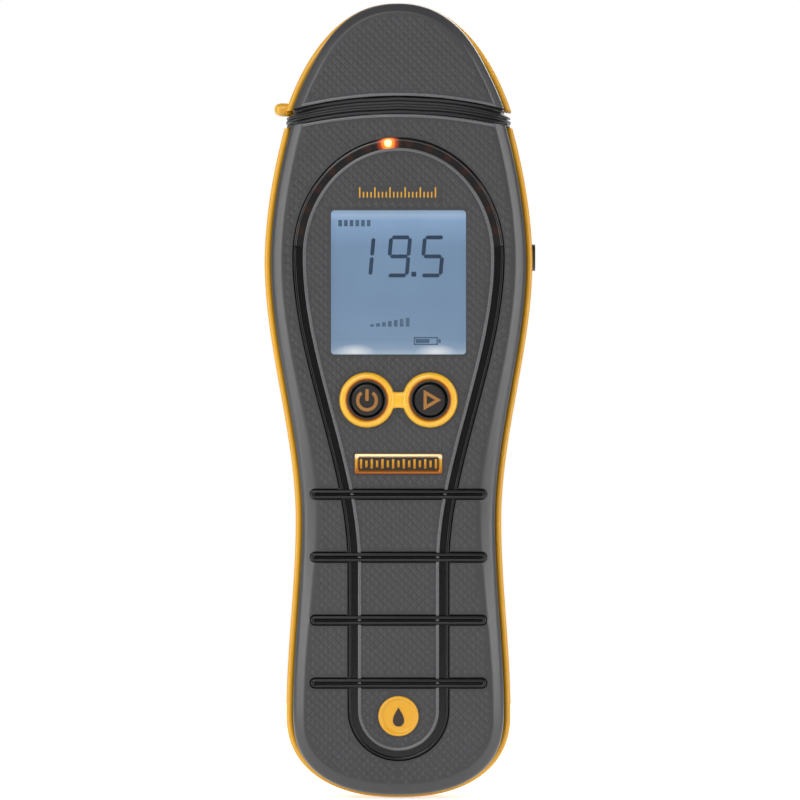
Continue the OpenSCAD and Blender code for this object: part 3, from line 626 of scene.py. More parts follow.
caseSpine = (20, 128)
capSpine = (capShape["edgeZ"] + 3, capShape["edgeZ"] + 4)
rungShape = {"count": 4, "firstZ": 66.85, "pitch": 13.8, "high": 2.5, "long": 39.0}
rungHeights = [rungShape["firstZ"] - rungShape["pitch"] * k for k in range(rungShape["count"])]
buttonX = abs(keyBox[0][0] + keyBox[1][0]) / 2
buttonZ = (bezelBox[0][2] + bezelBox[1][2]) / 2
plateMid = (plateBox[0] + plateBox[1]) / 2
badgeMid = (badgeBox[0] + badgeBox[1]) / 2
windowMid = (windowBox[0] + windowBox[1]) / 2
viewShape = {"w": 29.6, "h": 31.6, "corner": 0.8}
bayLow = leftCell[0] - [0.3, 0.3, 4.2]
bayHigh = rightCell[1] + [0.3, 0, 0.5]


def frontShell():
    cut = {"deep": 1.0, "through": 3.0, "bore": 3.95, "wall": 2.0}
    outline = frontOutline(caseOutline, caseRim, caseFlank)
    piece = fanSolid("frontShell", outline, caseSpine, ringsFront(), (30, 2))
    combine(piece, hollowCase(faceY + cut["wall"], rimY + 3, rimShow + 1.6))
    full = [closedFromHalf(keyholeLine(inset, 220)) for inset in (0.0, keyholeShape["groove"])]
    combine(piece, ringPrism("groove", *full, faceY - 1, faceY + cut["deep"]))
    for z in rungHeights:
        slot = roundedRect(rungShape["long"], rungShape["high"], 1.2, 0, z)
        combine(piece, prism("slot", slot, faceY - 1, faceY + cut["deep"]))
    view = roundedRect(viewShape["w"], viewShape["h"], viewShape["corner"], windowMid[0], windowMid[2])
    for opening in (view, circle(cut["bore"], buttonX, buttonZ), circle(cut["bore"], -buttonX, buttonZ)):
        combine(piece, prism("opening", opening, faceY - 1, faceY + cut["through"]))
    cleanMesh(piece)
    return settle(piece, "case", "charcoal_abs", charcoal, "front_case")


def rearShell():
    screw = {
        "well": 3.75, "shank": 1.7, "head": 2.8, "seat": 8, "floor": 1.4, "under": 1.6,
        "topX": 20.0, "topDrop": 11.2, "lowX": 16.0, "headHalf": 2.61}
    # radius, and how far in from the socket nut each bore starts
    bores = ((4.6, 0.1), (3.1, 6))
    piece = fanSolid("rearShell", caseOutline, caseSpine, ringsRear(), (2, 24))
    combine(piece, hollowCase(rimY - 3, backY - 2.2, 0.6))
    half = doorBox[1][0] - 0.9 + 0.3
    top, inner = doorBox[1][2] + 0.3, doorBox[0][1] - 0.1
    combine(piece, blockBetween("doorWay", -half, half, -2, top, inner, backY + 2))
    combine(piece, blockBetween("bay", bayLow[0], bayHigh[0], bayLow[2], bayHigh[2], backY - 5, backY + 2))
    lowScrewZ = boxMm("case_screws")[0][2] + screw["headHalf"]
    for side in (1, -1):
        for x, z in ((screw["topX"], caseTop - screw["topDrop"]), (screw["lowX"], lowScrewZ)):
            well = [circle(screw[r], side * x, z, 40) for r in ("well", "shank")]
            seatY = backY - screw["seat"]
            combine(piece, ringPrism("well", *well, seatY - screw["floor"], backY - screw["under"]), "UNION")
            combine(piece, prism("counterbore", circle(screw["head"], side * x, z, 40), seatY, backY + 2))
    middle = (socketBox[0] + socketBox[1]) / 2
    for radius, deep in bores:
        ring = circle(radius, middle[1], middle[2], 48)
        rows = [np.insert(ring, 0, x, axis=1) for x in (socketBox[0][0] - deep, wideHalf + 3)]
        combine(piece, solidPrism("socketSeat", rows))
    cleanMesh(piece)
    return settle(piece, "case", "amber_abs", amber, "rear_case")


def batteryTray():
    # thin tray under the cells, seen when the door is off
    low, high = bayLow + 0.05 * np.array([1, 1, 0]), bayHigh - [0.05, 0, 0]
    mid, size = (low + high) / 2, high - low
    inner = roundedRect(size[0], size[2], 1.2, mid[0], mid[2])
    outer = roundedRect(size[0] + 2, size[2] + 2, 2.0, mid[0], mid[2])
    y0, y1 = low[1] - 0.8, doorBox[0][1] - 0.4
    rows = [(outer, y0), (outer, y1), (inner, y1), (inner, y0 + 0.8)]
    return settle(tube("batteryTray", [atDepth(p, y) for p, y in rows]), "case", "dark_nylon", nylon)


def diamonds(name, inside, zRange, body):
    # square lattice turned by 45 degrees; each cell inside the field is a low pyramid with a flat top
    shape = {"pitch": 1.85, "groove": 0.14, "proud": 0.1, "top": 0.45, "sunk": 0.06}
    p, half = shape["pitch"], (shape["pitch"] - shape["groove"]) / 2
    rows = np.arange(int(zRange[0] * 2 / p), int(zRange[1] * 2 / p))
    k, m = np.meshgrid(rows, np.arange(-17, 18), indexing="ij")
    x, z = ((m + (k % 2) / 2) * p).ravel(), (k * p / 2).ravel()
    # a cell near an edge is drawn smaller, as far as it fits
    share = np.zeros(len(x))
    for size in (0.4, 0.6, 0.8, 1.0):
        share[inside(x, z, size * half - 0.1)] = size
    keep = share > 0
    x, z, share = x[keep, None], z[keep, None], share[keep, None]
    corner = np.array([(1, 0), (0, 1), (-1, 0), (0, -1)])
    rings = [(half, faceY + shape["sunk"]), (half * shape["top"], faceY - shape["proud"])]
    verts = np.stack([
        np.stack([
            x + size * share * corner[:, 0], np.full((len(x), 4), y),
            z + size * share * corner[:, 1]], -1)
        for size, y in rings], 1).reshape(-1, 3)
    one = np.array([(0, 1, 5, 4), (1, 2, 6, 5), (2, 3, 7, 6), (3, 0, 4, 7), (4, 5, 6, 7), (3, 2, 1, 0)])
    faces = (one[None] + 8 * np.arange(len(x))[:, None, None]).reshape(-1, 4)
    # the diamonds' paler colour is a painted highlight on their raised tops
    return settle(fromFaces(name, verts, faces.tolist(), 5), body, "charcoal_abs", relief)


def outsideBox(x, z, cx, cz, halfX, halfZ):
    return (abs(x - cx) > halfX) | (abs(z - cz) > halfZ)


def keyHalf(z, inset):
    # half width of the keyhole at a height, nothing above its top or below its foot
    k = keyholeShape
    flare = smooth((z - k["flareZ"]) / (k["z"] - k["flareZ"]))
    side = k["narrow"] - inset + (k["wide"] - k["narrow"]) * flare
    dome = (k["wide"] - inset) * np.sqrt(np.clip(1 - ((z - k["z"]) / (k["rise"] - inset)) ** 2, 0, 1))
    foot = np.sqrt(np.clip((k["narrow"] - inset) ** 2 - (z - k["footZ"]) ** 2, 0, None))
    return np.where(z > k["z"], dome, np.where(z < k["footZ"], foot, side))


def caseField(x, z, room):
    # flat part of the case's face, clear of everything that is let into it
    c = caseShape
    clear = {"scale": (0, 132.9, 8.9, 1.4), "plate": (9.55, 2.2), "ring": 6.1, "badge": 4.5, "edge": 0.65}
    flat = rimShow * caseRim(z) + flankWide * caseFlank(z)
    down = np.clip(c["footRise"] - z, 0, None) / (c["footRise"] - flat)
    footHalf = (c["footHalf"] - flat) * np.clip(1 - down ** c["footPower"], 0, 1) ** (1 / c["footPower"])
    side = np.where(z < c["footRise"], footHalf, caseHalf(z) - flat)
    keep = (abs(x) < side - room) & (z < shoulderZ(x) - room - 0.6)
    panel = keyHalf(z, keyholeShape["groove"] + clear["edge"] + room)
    keep &= (abs(x) > keyHalf(z, -room)) | (abs(x) < panel)
    boxes = [(0, height, rungShape["long"] / 2, rungShape["high"] / 2) for height in rungHeights]
    boxes += [(windowMid[0], windowMid[2], viewShape["w"] / 2, viewShape["h"] / 2)]
    boxes += [clear["scale"], (0, plateMid[2], *clear["plate"])]
    for cx, cz, halfX, halfZ in boxes:
        keep &= outsideBox(x, z, cx, cz, halfX + room, halfZ + room)
    keep &= outsideBox(x, z, 0, buttonZ, buttonX, 2 + room)
    rings = [(side * buttonX, buttonZ, clear["ring"]) for side in (1, -1)]
    for cx, cz, radius in (*rings, (0, badgeMid[2], clear["badge"])):
        keep &= np.hypot(x - cx, z - cz) > radius + room
    return keep


def capField(x, z, room):
    # inside the cap's flat face: superellipse above the curved lower edge
    c = capShape
    inset = room + rimShow * capRim(z) + flankWide * capFlank(z)
    up = np.clip(z - wideZ, 0, None) / (c["rise"] - inset)
    dome = (np.abs(x) / (wideHalf - inset)) ** c["power"] + up ** c["power"]
    return (dome < 1) & (z > capEdgeZ(x) + 0.6 + room)


def doorPanel():
    # the back's own skin within the door's outline, with thumb ridges at its upper end
    ridges = {"count": 6, "pitch": 1.9, "half": 7.0, "radius": 0.55, "top": 4.0, "taper": 0.12}
    rings = [(y, inset) for y, inset in ringsRear() if y > rimY + 1]
    piece = fanSolid("doorPanel", caseOutline, caseSpine, rings, (2, 10))
    half = doorBox[1][0] - 0.9
    block = blockBetween("doorBlock", -half, half, -1, doorBox[1][2], doorBox[0][1] + 0.2, backY + 1)
    combine(piece, block, "INTERSECT")
    t = roundAngles(16)
    for k in range(ridges["count"]):
        z = doorBox[1][2] - ridges["top"] - k * ridges["pitch"]
        short = ridges["half"] * (1 - ridges["taper"] * k)
        x = np.linspace(-short, short, 25)[:, None]
        swell = np.sqrt(np.clip(1 - (x / short) ** 4, 0, 1)) * ridges["radius"]
        grid = [np.broadcast_to(x, (25, 16)), backY - 0.06 - swell * np.cos(t), z + swell * np.sin(t)]
        combine(piece, tube("thumbGroove", np.stack(grid, -1)))
    cleanMesh(piece)
    return settle(piece, "door", "charcoal_abs", charcoal, "battery_door")


print("case shells")
frontShell()
rearShell()
batteryTray()
diamonds("gripDiamonds", caseField, (0, caseTop), "case")
diamonds("capDiamonds", capField, (caseTop, capBox[1][2]), "cap")
doorPanel()


def capHollow():
    # straight-sided space that lifts off over the nose
    inner = capOutline(rimShow + 1.9, 40, 12)
    edgeZ = capShape["edgeZ"]
    keep = inner[inner[:, 1] > edgeZ + 0.2]
    keep = keep[np.argsort(np.arctan2(keep[:, 0], keep[:, 1] - edgeZ))]
    wide = abs(keep[:, 0]).max()
    outline = np.concatenate([[(-wide, caseTop - 6)], keep, [(wide, caseTop - 6)]])
    return prism("capSpace", outline, faceY + 2.4, backY - 2.6)


def pullNub():
    # little rounded pull: a superellipsoid at the cap's lower left corner
    nub = {"x": -25.0, "z": capShape["edgeZ"] - 2.7, "y": rimY + 3, "size": (2.3, 2.2, 1.5), "power": 0.75}
    u, v = np.meshgrid(np.linspace(-pi / 2, pi / 2, 17), roundAngles(28), indexing="ij")
    cosU, sinU, cosV, sinV = (signedPower(f(a), nub["power"]) for a in (u, v) for f in (np.cos, np.sin))
    wide, deep, high = nub["size"]
    offsets = (wide * cosU * cosV, deep * cosU * sinV, high * sinU)
    grid = np.stack([nub[axis] + offset for axis, offset in zip("xyz", offsets)], -1)
    return newMesh("nub", [(grid, False, True)])


def capShells():
    outline = frontOutline(capOutline, capRim, capFlank)
    front = fanSolid("capFrontShell", outline, capSpine, ringsFront(), (24, 3))
    rear = fanSolid("capRearShell", capOutline, capSpine, ringsRear(), (3, 20))
    combine(rear, pullNub(), "UNION")
    for piece in (front, rear):
        combine(piece, capHollow())
        cleanMesh(piece)
    settle(front, "cap", "charcoal_abs", charcoal, "cap_front")
    settle(rear, "cap", "amber_abs", amber, "cap_rear")


def neckBand():
    # rounded-rectangle loop carried from the shoulder's curve to the cap's, with fine ribs round it
    band = {
        "half": 23.5, "lip": 1.25, "front": -12.8, "back": 12.7, "rib": 0.34, "rows": 44, "cols": 220,
        "inner": 3.2, "gap": 0.12, "power": 2 / 7}
    t = roundAngles(band["cols"])
    cosT, sinT = signedPower(np.cos(t), band["power"]), signedPower(np.sin(t), band["power"])
    mid, deep = (band["front"] + band["back"]) / 2, (band["back"] - band["front"]) / 2
    rows = []

    def addRow(share, grow, lip=0.0):
        x, y = (band["half"] + grow + lip) * cosT, mid + (deep + grow) * sinT
        low, high = shoulderZ(x) + band["gap"], capEdgeZ(x) - band["gap"]
        rows.append(np.stack([x, y, low + (high - low) * share], 1))

    for share in np.linspace(0, 1, band["rows"]):
        rib = band["rib"] * (np.cos(share * 6 * pi) * 0.5 - 0.5)
        edge = -0.25 * (1 - min(1, min(share, 1 - share) / 0.08))
        addRow(share, rib + edge, band["lip"] * (1 - smooth((share - 0.6) / 0.15)))
    for share in (1, 0):
        addRow(share, -band["inner"])
    piece = newMesh("neckBand", [(np.array(rows), True, True)])
    return settle(piece, "case", "dark_nylon", nylon, "neck_collar")


print("cap")
capShells()
neckBand()


def channelSection(outside):
    # dark gap and a round lip on the outer side, then a flat floor up to the panel's edge
    lip = {"at": 0.62, "radius": 0.34, "top": 0.02}
    half, floor, bottom = 1.16, -0.6, -0.98
    points = [(half, bottom), (half, -0.8), (1.0, -0.78)]
    for a in np.linspace(0, pi, 13):
        down = lip["radius"] * (1 - math.sin(a))
        points.append((lip["at"] + lip["radius"] * math.cos(a), lip["top"] - down))
    points += [(0.26, floor), (-half, floor), (-half, bottom)]
    return [(a * outside, b) for a, b in points]


def openKeyhole(inset):
    # the keyhole's line from one end of the lamp window down round the foot to the other end
    k = keyholeShape
    half = keyholeLine(inset, 260)
    endZ = k["z"] + k["rise"] * math.sin(math.radians(k["lampTail"]))
    down = half[half[:, 1] <= endZ][::-1]
    return np.concatenate([down * [-1, 1], down[::-1][1:]])


def lampLine(inset):
    k = keyholeShape
    tail = math.radians(k["lampTail"]) + 0.004
    t = np.linspace(pi - tail, tail, 120)
    return np.stack([(k["wide"] - inset) * np.cos(t), k["z"] + (k["rise"] - inset) * np.sin(t)], 1)


def keyTrim():
    grid = sweep(openKeyhole(keyholeShape["groove"] / 2), channelSection(1), False)
    return settle(tube("keyTrim", grid), "case", "gloss_black", black, "channel_trim")


def panelEdge():
    # rolled edge of the raised inner panel: a half round carried round the keyhole
    edge = {"inset": keyholeShape["groove"] + 0.26, "half": 0.34, "proud": 0.2, "sunk": -0.3, "room": 0.36}
    section = [(edge["half"] * math.cos(a), edge["proud"] * math.sin(a)) for a in np.linspace(0, pi, 9)]
    section = [(edge["half"], edge["sunk"]), *section, (-edge["half"], edge["sunk"])]
    grid = sweep(closedFromHalf(keyholeLine(edge["inset"], 220)), section, True)
    # the edge's pale charcoal is a painted highlight along it
    settle(newMesh("panelEdge", [(grid, True, True)]), "case", "charcoal_abs", edgeHighlightCharcoal)
    # the shoulder and the cap's lower edge are rolled in the same way, with the same painted highlight
    x = np.linspace(-21.2, 21.2, 60)
    shoulder, cap = shoulderZ(x) - edge["room"], capEdgeZ(x) + edge["room"]
    for name, line, body in (("shoulderEdge", shoulder, "case"), ("capEdge", cap, "cap")):
        grid = sweep(np.stack([x, line], 1), section, False)
        settle(tube(name, grid), body, "charcoal_abs", edgeHighlightCharcoal)


def crossBar(k, z):
    # stadium loops, each a distance in from the seat's edge: dark gap, round bead, crease along the middle
    rows = [(0.06, -0.98), (0.06, -0.75), (0.16, -0.72), (0.18, 0.0), (0.22, 0.16), (0.3, 0.3), (0.42, 0.42)]
    rows += [(0.56, 0.49), (0.7, 0.51), (0.84, 0.47), (0.96, 0.38), (1.06, 0.24), (1.16, 0.04)]
    long, high = rungShape["long"], rungShape["high"]
    grid = []
    for inset, up in rows:
        loop = roundedRect(long - 2 * inset, high - 2 * inset, high / 2 - inset - 0.02, 0, z)
        grid.append(atDepth(loop, faceY - up))
    return settle(tube(f"crossBar{k}", grid), "case", "gloss_black", black, f"grip_rung_{k}")


def lampArc():
    # the same section as the inlay, over lamps at even angles
    lamps = {"count": 14, "first": 13, "spread": 154, "under": 0.2, "glow": 3.2}
    angles = np.radians(lamps["first"] + lamps["spread"] * np.arange(lamps["count"]) / (lamps["count"] - 1))
    k = keyholeShape
    mid = k["groove"] / 2
    at = [
        ((k["wide"] - mid) * math.cos(a), faceY + lamps["under"], k["z"] + (k["rise"] - mid) * math.sin(a))
        for a in angles]
    lit = at.pop(lamps["count"] // 2)
    piece = tube("lampArc", sweep(lampLine(mid), channelSection(-1), False))
    return settle(piece, "case", "smoked_lens", smokedLens(lit, at, lamps["glow"]), "led_window")


print("inlay, bars and lamps")
keyTrim()
panelEdge()
for number, height in enumerate(rungHeights, 1):
    crossBar(number, height)
lampArc()


def flatPieces(name, outlines, y, thick=0.05):
    # several flat outlines in x and z, each a thin closed plate
    verts, faces = [], []
    for points in outlines:
        n, base = len(points), len(verts)
        for depth in (y - thick, y):
            verts += [(x, depth, z) for x, z in points]
        faces += [tuple(range(base, base + n)), tuple(range(base + n, base + 2 * n))[::-1]]
        faces += [(base + k, base + (k + 1) % n, base + n + (k + 1) % n, base + n + k) for k in range(n)]
    return fromFaces(name, verts, faces)


digitBars = {"1": "bc", "5": "afgcd", "9": "abcdfg"}


def digit(name, x, z, width, height, stroke, slant):
    # seven-segment figure: each bar is a six-sided sliver, the whole leaning to the right
    w, h, s, gap = width / 2, height / 2, stroke / 2, stroke * 0.12

    def across(mid):
        tip, end = w - s - gap, w - 2 * s
        return [(-tip, mid), (-end, mid + s), (end, mid + s), (tip, mid), (end, mid - s), (-end, mid - s)]

    def up(mid, low, high):
        right, left = [(mid + s, low + s), (mid + s, high - s)], [(mid - s, high - s), (mid - s, low + s)]
        return [(mid, low + gap), *right, (mid, high - gap), *left]

    bars = {
        "a": across(h - s), "g": across(0), "d": across(-h + s), "b": up(w - s, 0, h - s),
        "c": up(w - s, -h + s, 0), "f": up(-w + s, 0, h - s)}
    return [[(x + px + slant * pz, z + pz) for px, pz in bars[key]] for key in digitBars[name]]


def display():
    place = {"z": 119.0, "width": 5.0, "height": 9.2, "stroke": 0.85, "slant": 0.09, "proud": 0.02}
    faceOfGlass = glassBox[0][1]
    panel = roundedRect(viewShape["w"] + 1.2, viewShape["h"] + 1.2, 0.6, windowMid[0], windowMid[2])
    face = prism("crystalPanel", panel, faceOfGlass, faceOfGlass + 1.6)
    settle(face, "case", "lcd", crystal, "lcd_glass")
    y = faceOfGlass - place["proud"]
    figures = []
    for name, x in (("1", -7.9), ("9", 0.1), ("5", 7.5)):
        figures += digit(name, x, *(place[key] for key in ("z", "width", "height", "stroke", "slant")))
    figures.append(roundedRect(1.1, 1.1, 0.25, 3.35, place["z"] - 3.9))
    settle(flatPieces("readingDigits", figures, y), "case", "lcd", lcdInk)

    def block(x, z, height):
        return [(x, z), (x + 0.8, z), (x + 0.8, z + height), (x, z + height)]

    # a row of blocks, a rising row, and a battery drawn with bars of (width, height, x, z)
    battery = [
        (5.2, 0.28, 6.0, 101.2), (5.2, 0.28, 6.0, 99.7), (0.28, 1.7, 3.5, 100.45),
        (0.28, 1.7, 8.5, 100.45), (0.5, 0.8, 9.0, 100.45), (3.0, 0.9, 5.3, 100.45)]
    marks = [block(-13.2 + 1.25 * k, 125.6, 1.4) for k in range(6)]
    marks += [block(-6.2 + 1.3 * k, 103.6, 0.5 + 0.24 * k) for k in range(7)]
    marks += [roundedRect(width, height, 0.1, x, z) for width, height, x, z in battery]
    settle(flatPieces("displaySymbols", marks, y), "case", "lcd", lcdFaint)


def scaleMarks():
    # a small graduated scale above the display, longer every fourth mark
    row = {"count": 21, "pitch": 0.83, "x": -0.2, "lowZ": 131.85, "width": 0.3, "short": 1.3, "tall": 2.3}
    marks = []
    for k in range(row["count"]):
        x = (k - (row["count"] - 1) / 2) * row["pitch"] + row["x"]
        height = row["tall"] if k % 4 == 0 else row["short"]
        marks.append(roundedRect(row["width"], height, 0.12, x, row["lowZ"] + height / 2, 3))
    return settle(flatPieces("scaleMarks", marks, faceY + 0.02, 0.06), "case", "amber_abs", amberInk)


print("display")
display()
scaleMarks()


def ringAmber():
    # amber ABS of the rings: painted shade darkens the inner slopes to deep brown, and the crests are painted
    # bright as a highlight
    material, tree, shader, where = mottled(
        "amberRingAbs", "#C08214", "#C98A1A", {"Roughness": 0.3, "IOR": 1.54}, 0.3, 0.006)
    middles = [(side * buttonX, 0, buttonZ) for side in (1, -1)]
    # painted shade near each ring's middle, painted highlight towards the crest
    paint(tree, shader, nearest(tree, where, middles, (3.7, 5.3), (1, 0, 1)), [
        (0.0, "#180A02"), (0.3, "#4A1E04"), (0.52, "#8A4E08"), (0.72, "#C48A14"), (0.9, "#CE9C1C")])
    return material


def bezel():
    # two turned rings joined by a rounded bridge
    ring = {
        "inner": 3.95, "crest": 5.15, "outer": 6.05, "proud": 1.05,
        "bridgeHalf": 2.0, "bridgeLong": 1.6, "bridgeProud": 0.75, "bridgePower": 0.6,
        "sunk": 0.2}
    inner, crest, outer, proud = (ring[key] for key in ("inner", "crest", "outer", "proud"))
    t = np.linspace(0, 1, 14)
    rise, fall = quarter(t)
    inside = np.stack([inner + (crest - inner) * t, -0.5 + (proud + 0.5) * rise], 1)
    outside = np.stack([crest + (outer - crest) * rise, proud * fall - 0.02], 1)[1:]
    profile = [(inner, -1.6), *inside, *outside, (outer, -0.5), (outer - 0.3, -0.7), (inner + 0.4, -1.6)]
    left = newMesh("buttonRings", [(revolve(-buttonX, buttonZ, profile, 96), True, True)])
    combine(left, newMesh("ringRight", [(revolve(buttonX, buttonZ, profile, 96), True, True)]), "UNION")
    x = np.linspace(-ring["bridgeLong"], ring["bridgeLong"], 15)[:, None]
    a = roundAngles(32)
    half = ring["bridgeHalf"] - 0.25 + 0.25 * (x / ring["bridgeLong"]) ** 2
    cosA, sinA = signedPower(np.cos(a), ring["bridgePower"]), signedPower(np.sin(a), ring["bridgePower"])
    up = faceY + ring["sunk"] - (ring["bridgeProud"] + ring["sunk"]) * cosA
    high = buttonZ + half * sinA
    grid = [np.broadcast_to(x, high.shape), np.broadcast_to(up, high.shape), high]
    combine(left, tube("bridge", np.stack(grid, -1)), "UNION")
    cleanMesh(left, 60)
    return settle(left, "case", "amber_abs", ringAmber(), "button_bezel")


def keyCap(name, x, body, node):
    key = {"radius": 3.5, "flat": 0.86, "proud": 0.05, "edge": 0.35, "dish": 0.12, "deep": -1.9}
    t = np.linspace(0, 1, 10)[1:]
    rise, fall = quarter(t)
    dish = np.stack([key["radius"] * key["flat"] * t, key["proud"] - key["dish"] * (1 - t * t)], 1)
    turn = [key["radius"] * (key["flat"] + (1 - key["flat"]) * rise), key["proud"] - key["edge"] * (1 - fall)]
    profile = [*dish, *np.stack(turn, 1), (key["radius"], key["deep"])]
    return settle(tube(name, revolve(x, buttonZ, profile), 50), body, "button_plastic", keys, node)


def ringArc(radius, stroke, start, end, x, z):
    t = np.radians(np.linspace(start, end, 40))
    ray = np.stack([np.cos(t), np.sin(t)], 1)
    return np.concatenate([(radius + stroke / 2) * ray, (radius - stroke / 2) * ray[::-1]]) + [x, z]


def keyIcons():
    icon = {"radius": 2.05, "stroke": 0.72, "gap": 36, "y": faceY + 0.08, "thick": 0.1}
    power = [
        ringArc(icon["radius"], icon["stroke"], 90 + icon["gap"], 450 - icon["gap"], -buttonX, buttonZ - 0.1),
        roundedRect(icon["stroke"], 2.6, 0.2, -buttonX, buttonZ + 1.1)]
    mark = flatPieces("powerMark", power, icon["y"], icon["thick"])
    settle(mark, "power_key", "bronze_plate", iconInk)
    # an outlined triangle that points to the right, corners at even angles
    outer, inner = (circle(size, buttonX - 0.1, buttonZ, 3) for size in (2.6, 1.2))
    mark = ringPrism("selectMark", outer, inner, icon["y"] - icon["thick"], icon["y"])
    settle(mark, "select_key", "bronze_plate", iconInk)


def framedPlate():
    plate = {
        "w": 19.1, "h": 4.35, "edge": 0.75, "proud": 0.5, "bevel": 0.18, "sunk": 0.4, "bars": 15,
        "crestAt": 0.55, "step": 0.15, "field": 0.12, "room": 1.2}
    x, z = plateMid[0], plateMid[2]
    outer = roundedRect(plate["w"], plate["h"], 0.4, x, z)
    inner = roundedRect(plate["w"] - 2 * plate["edge"], plate["h"] - 2 * plate["edge"], 0.25, x, z)
    top, under = faceY - plate["proud"], faceY + plate["sunk"]
    crest = top + plate["bevel"]
    middle = outer + (inner - outer) * plate["crestAt"]
    rows = [(outer, under), (outer, crest), (middle, top), (inner, crest + plate["step"]), (inner, under)]
    grid = np.array([atDepth(p, y) for p, y in rows])
    settle(newMesh("plateFrame", [(grid, True, True)], 60), "case", "bronze_plate", bronze, "name_plate")
    settle(prism("plateField", inner, faceY - plate["field"], under), "case", "bronze_plate", darkInk)
    # an even row of upright bars in place of any wording
    pitch = (plate["w"] - 2 * plate["edge"] - plate["room"]) / (plate["bars"] - 1)
    bars = []
    for k in range(plate["bars"]):
        height = 2.1 if k % 2 == 0 else 1.5
        bars.append(roundedRect(0.5, height, 0.12, x + (k - (plate["bars"] - 1) / 2) * pitch, z, 3))
    settle(flatPieces("plateBars", bars, faceY - 0.1, 0.16), "case", "bronze_plate", bronze)


def badge():
    # slightly crowned disc, a raised rim, and a plain drop
    disc = {"field": 3.6, "rim": 4.0, "radius": 4.42, "dip": 0.12, "crown": 0.1, "proud": 0.48}
    x, z = badgeMid[0], badgeMid[2]
    t = np.linspace(0, 1, 9)[1:]
    rise, fall = quarter(t)
    profile = [
        *np.stack([disc["field"] * t, disc["dip"] + disc["crown"] * (1 - t)], 1),
        *np.stack([disc["field"] + (disc["rim"] - disc["field"]) * t,
                   disc["dip"] + (disc["proud"] - disc["dip"]) * rise], 1),
        *np.stack([disc["rim"] + (disc["radius"] - disc["rim"]) * rise, disc["proud"] * fall], 1),
        (disc["radius"], -0.5)]
    settle(tube("badgeDisc", revolve(x, z, profile), 60), "case", "amber_abs", amber, "round_badge")
    # a circle drawn out to a point at the top
    a = roundAngles(64)
    shape = {"half": 1.35 * 1.25, "high": 2.1, "power": 1.3, "lower": 0.15}
    drop = np.stack([
        x + shape["half"] * np.sin(a) * np.sin(a / 2) ** shape["power"],
        z - shape["lower"] + shape["high"] * np.cos(a)], 1)
    settle(flatPieces("badgeDrop", [drop], faceY - 0.1, 0.22), "case", "bronze_plate", darkInk)


print("keys, plate and badge")
bezel()
keyCap("powerKeyCap", -buttonX, "power_key", "power_button")
keyCap("selectKeyCap", buttonX, "select_key", "select_button")
keyIcons()
framedPlate()
badge()


def noseBlock():
    # rounded block: superellipse loop carried up, drawn in at its upper edge
    low, high = boxMm("nose_block")
    half, deep = high[0] - 0.02, -low[1] - 0.02
    t = roundAngles(120)
    cx, cy = signedPower(np.cos(t), 2 / 8), signedPower(np.sin(t), 2 / 8)
    top = high[2]
    steps = [(low[2], 0.0), (top - 1.2, 0.0), (top - 0.6, 0.2), (top - 0.2, 0.55), (top, 1.2), (top, 3.0)]
    grid = [np.stack([(half - d) * cx, (deep - d) * cy, np.full(len(t), z)], 1) for z, d in steps]
    return settle(tube("noseBlock", grid), "case", "dark_nylon", nylon, "nose_block")


def knurledNuts():
    # turned nuts with crossed knurling: two cosine waves that wind opposite ways round the barrel
    low, high = boxMm("collet_nuts")
    knurl = {"radius": 3.0, "deep": 0.035, "count": 24, "lead": 5, "rows": 16, "from": 0.25, "to": 2.9}
    t = roundAngles(144)
    turned = [(0.0, 1.3), (0.0, 2.8)]
    for up in np.linspace(knurl["from"], knurl["to"], knurl["rows"]):
        waves = sum(np.cos(knurl["count"] * t + way * up * knurl["lead"]) for way in (1, -1))
        turned.append((up, knurl["radius"] + knurl["deep"] * waves))
    turned += [(3.15, 2.85), (3.5, 2.7), (5.1, 1.45), (5.1, 0.8)]
    grids = []
    for side in (1, -1):
        middle = side * (high[0] - 3.1)
        rows = [
            np.stack([middle + r * np.cos(t), r * np.sin(t), np.full(len(t), low[2] + up)], 1)
            for up, r in turned]
        grids.append((capped(np.array(rows)), False, True))
    return settle(newMesh("knurledNuts", grids, 50), "case", "nickel", nickel, "collet_nuts")


print("nose and pins")
noseBlock()
knurledNuts()

print("finishes of the frame's own nodes")
board = boardGreen()
chip = printedInk("mouldedEpoxy", "#17171A", "#202024", 0.5)
lampOff = printedInk("unlitLamp", "#5A1E10", "#7A2C18", 0.3)
elastomer = printedInk("stripedElastomer", "#6E3348", "#8A465C", 0.6)
guide = printedInk("acrylicLightGuide", "#E8ECF2", "#F6F8FB", 0.3)
white = printedInk("acetalPlunger", "#DCD6C8", "#EAE6DC", 0.4)
kept = {
    "case_screws": steel, "display_window": lens, "lcd_backlight": guide, "lcd_connector": elastomer,
    "led_board": board, "status_leds": lampOff, "power_plunger": white, "select_plunger": white,
    "switch_housings": chip, "main_pcb": board, "circuit_chips": chip, "beeper": chip, "board_header": chip,
    "pcb_screws": steel, "probe_socket": nylon, "socket_nut": nickel, "battery_springs": nickel,
    "battery_contacts": nickel, "pin_left": steel, "pin_right": steel, "pin_studs": brass,
    "pin_terminals": brass, "battery_cell_left": cellSleeve(leftCell),
    "battery_cell_right": cellSleeve(rightCell),
}


def litLamp():
    # the lamp that is on: a warm glow, a little uneven
    material, tree, shader, where = newMaterial("litLamp", {"Roughness": 0.3, "Emission Strength": 8.0})
    spark = addNode(tree, "TexNoise", {"Scale": 900.0}, {"Vector": where}, "Fac")
    for socket in ("Base Color", "Emission Color"):
        paint(tree, shader, spark, [(0.3, "#FF9A50"), (0.7, "#FFC890")], socket)
    return material


kept["lit_led"] = litLamp()
for node, material in kept.items():
    setMaterial(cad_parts[node], material)


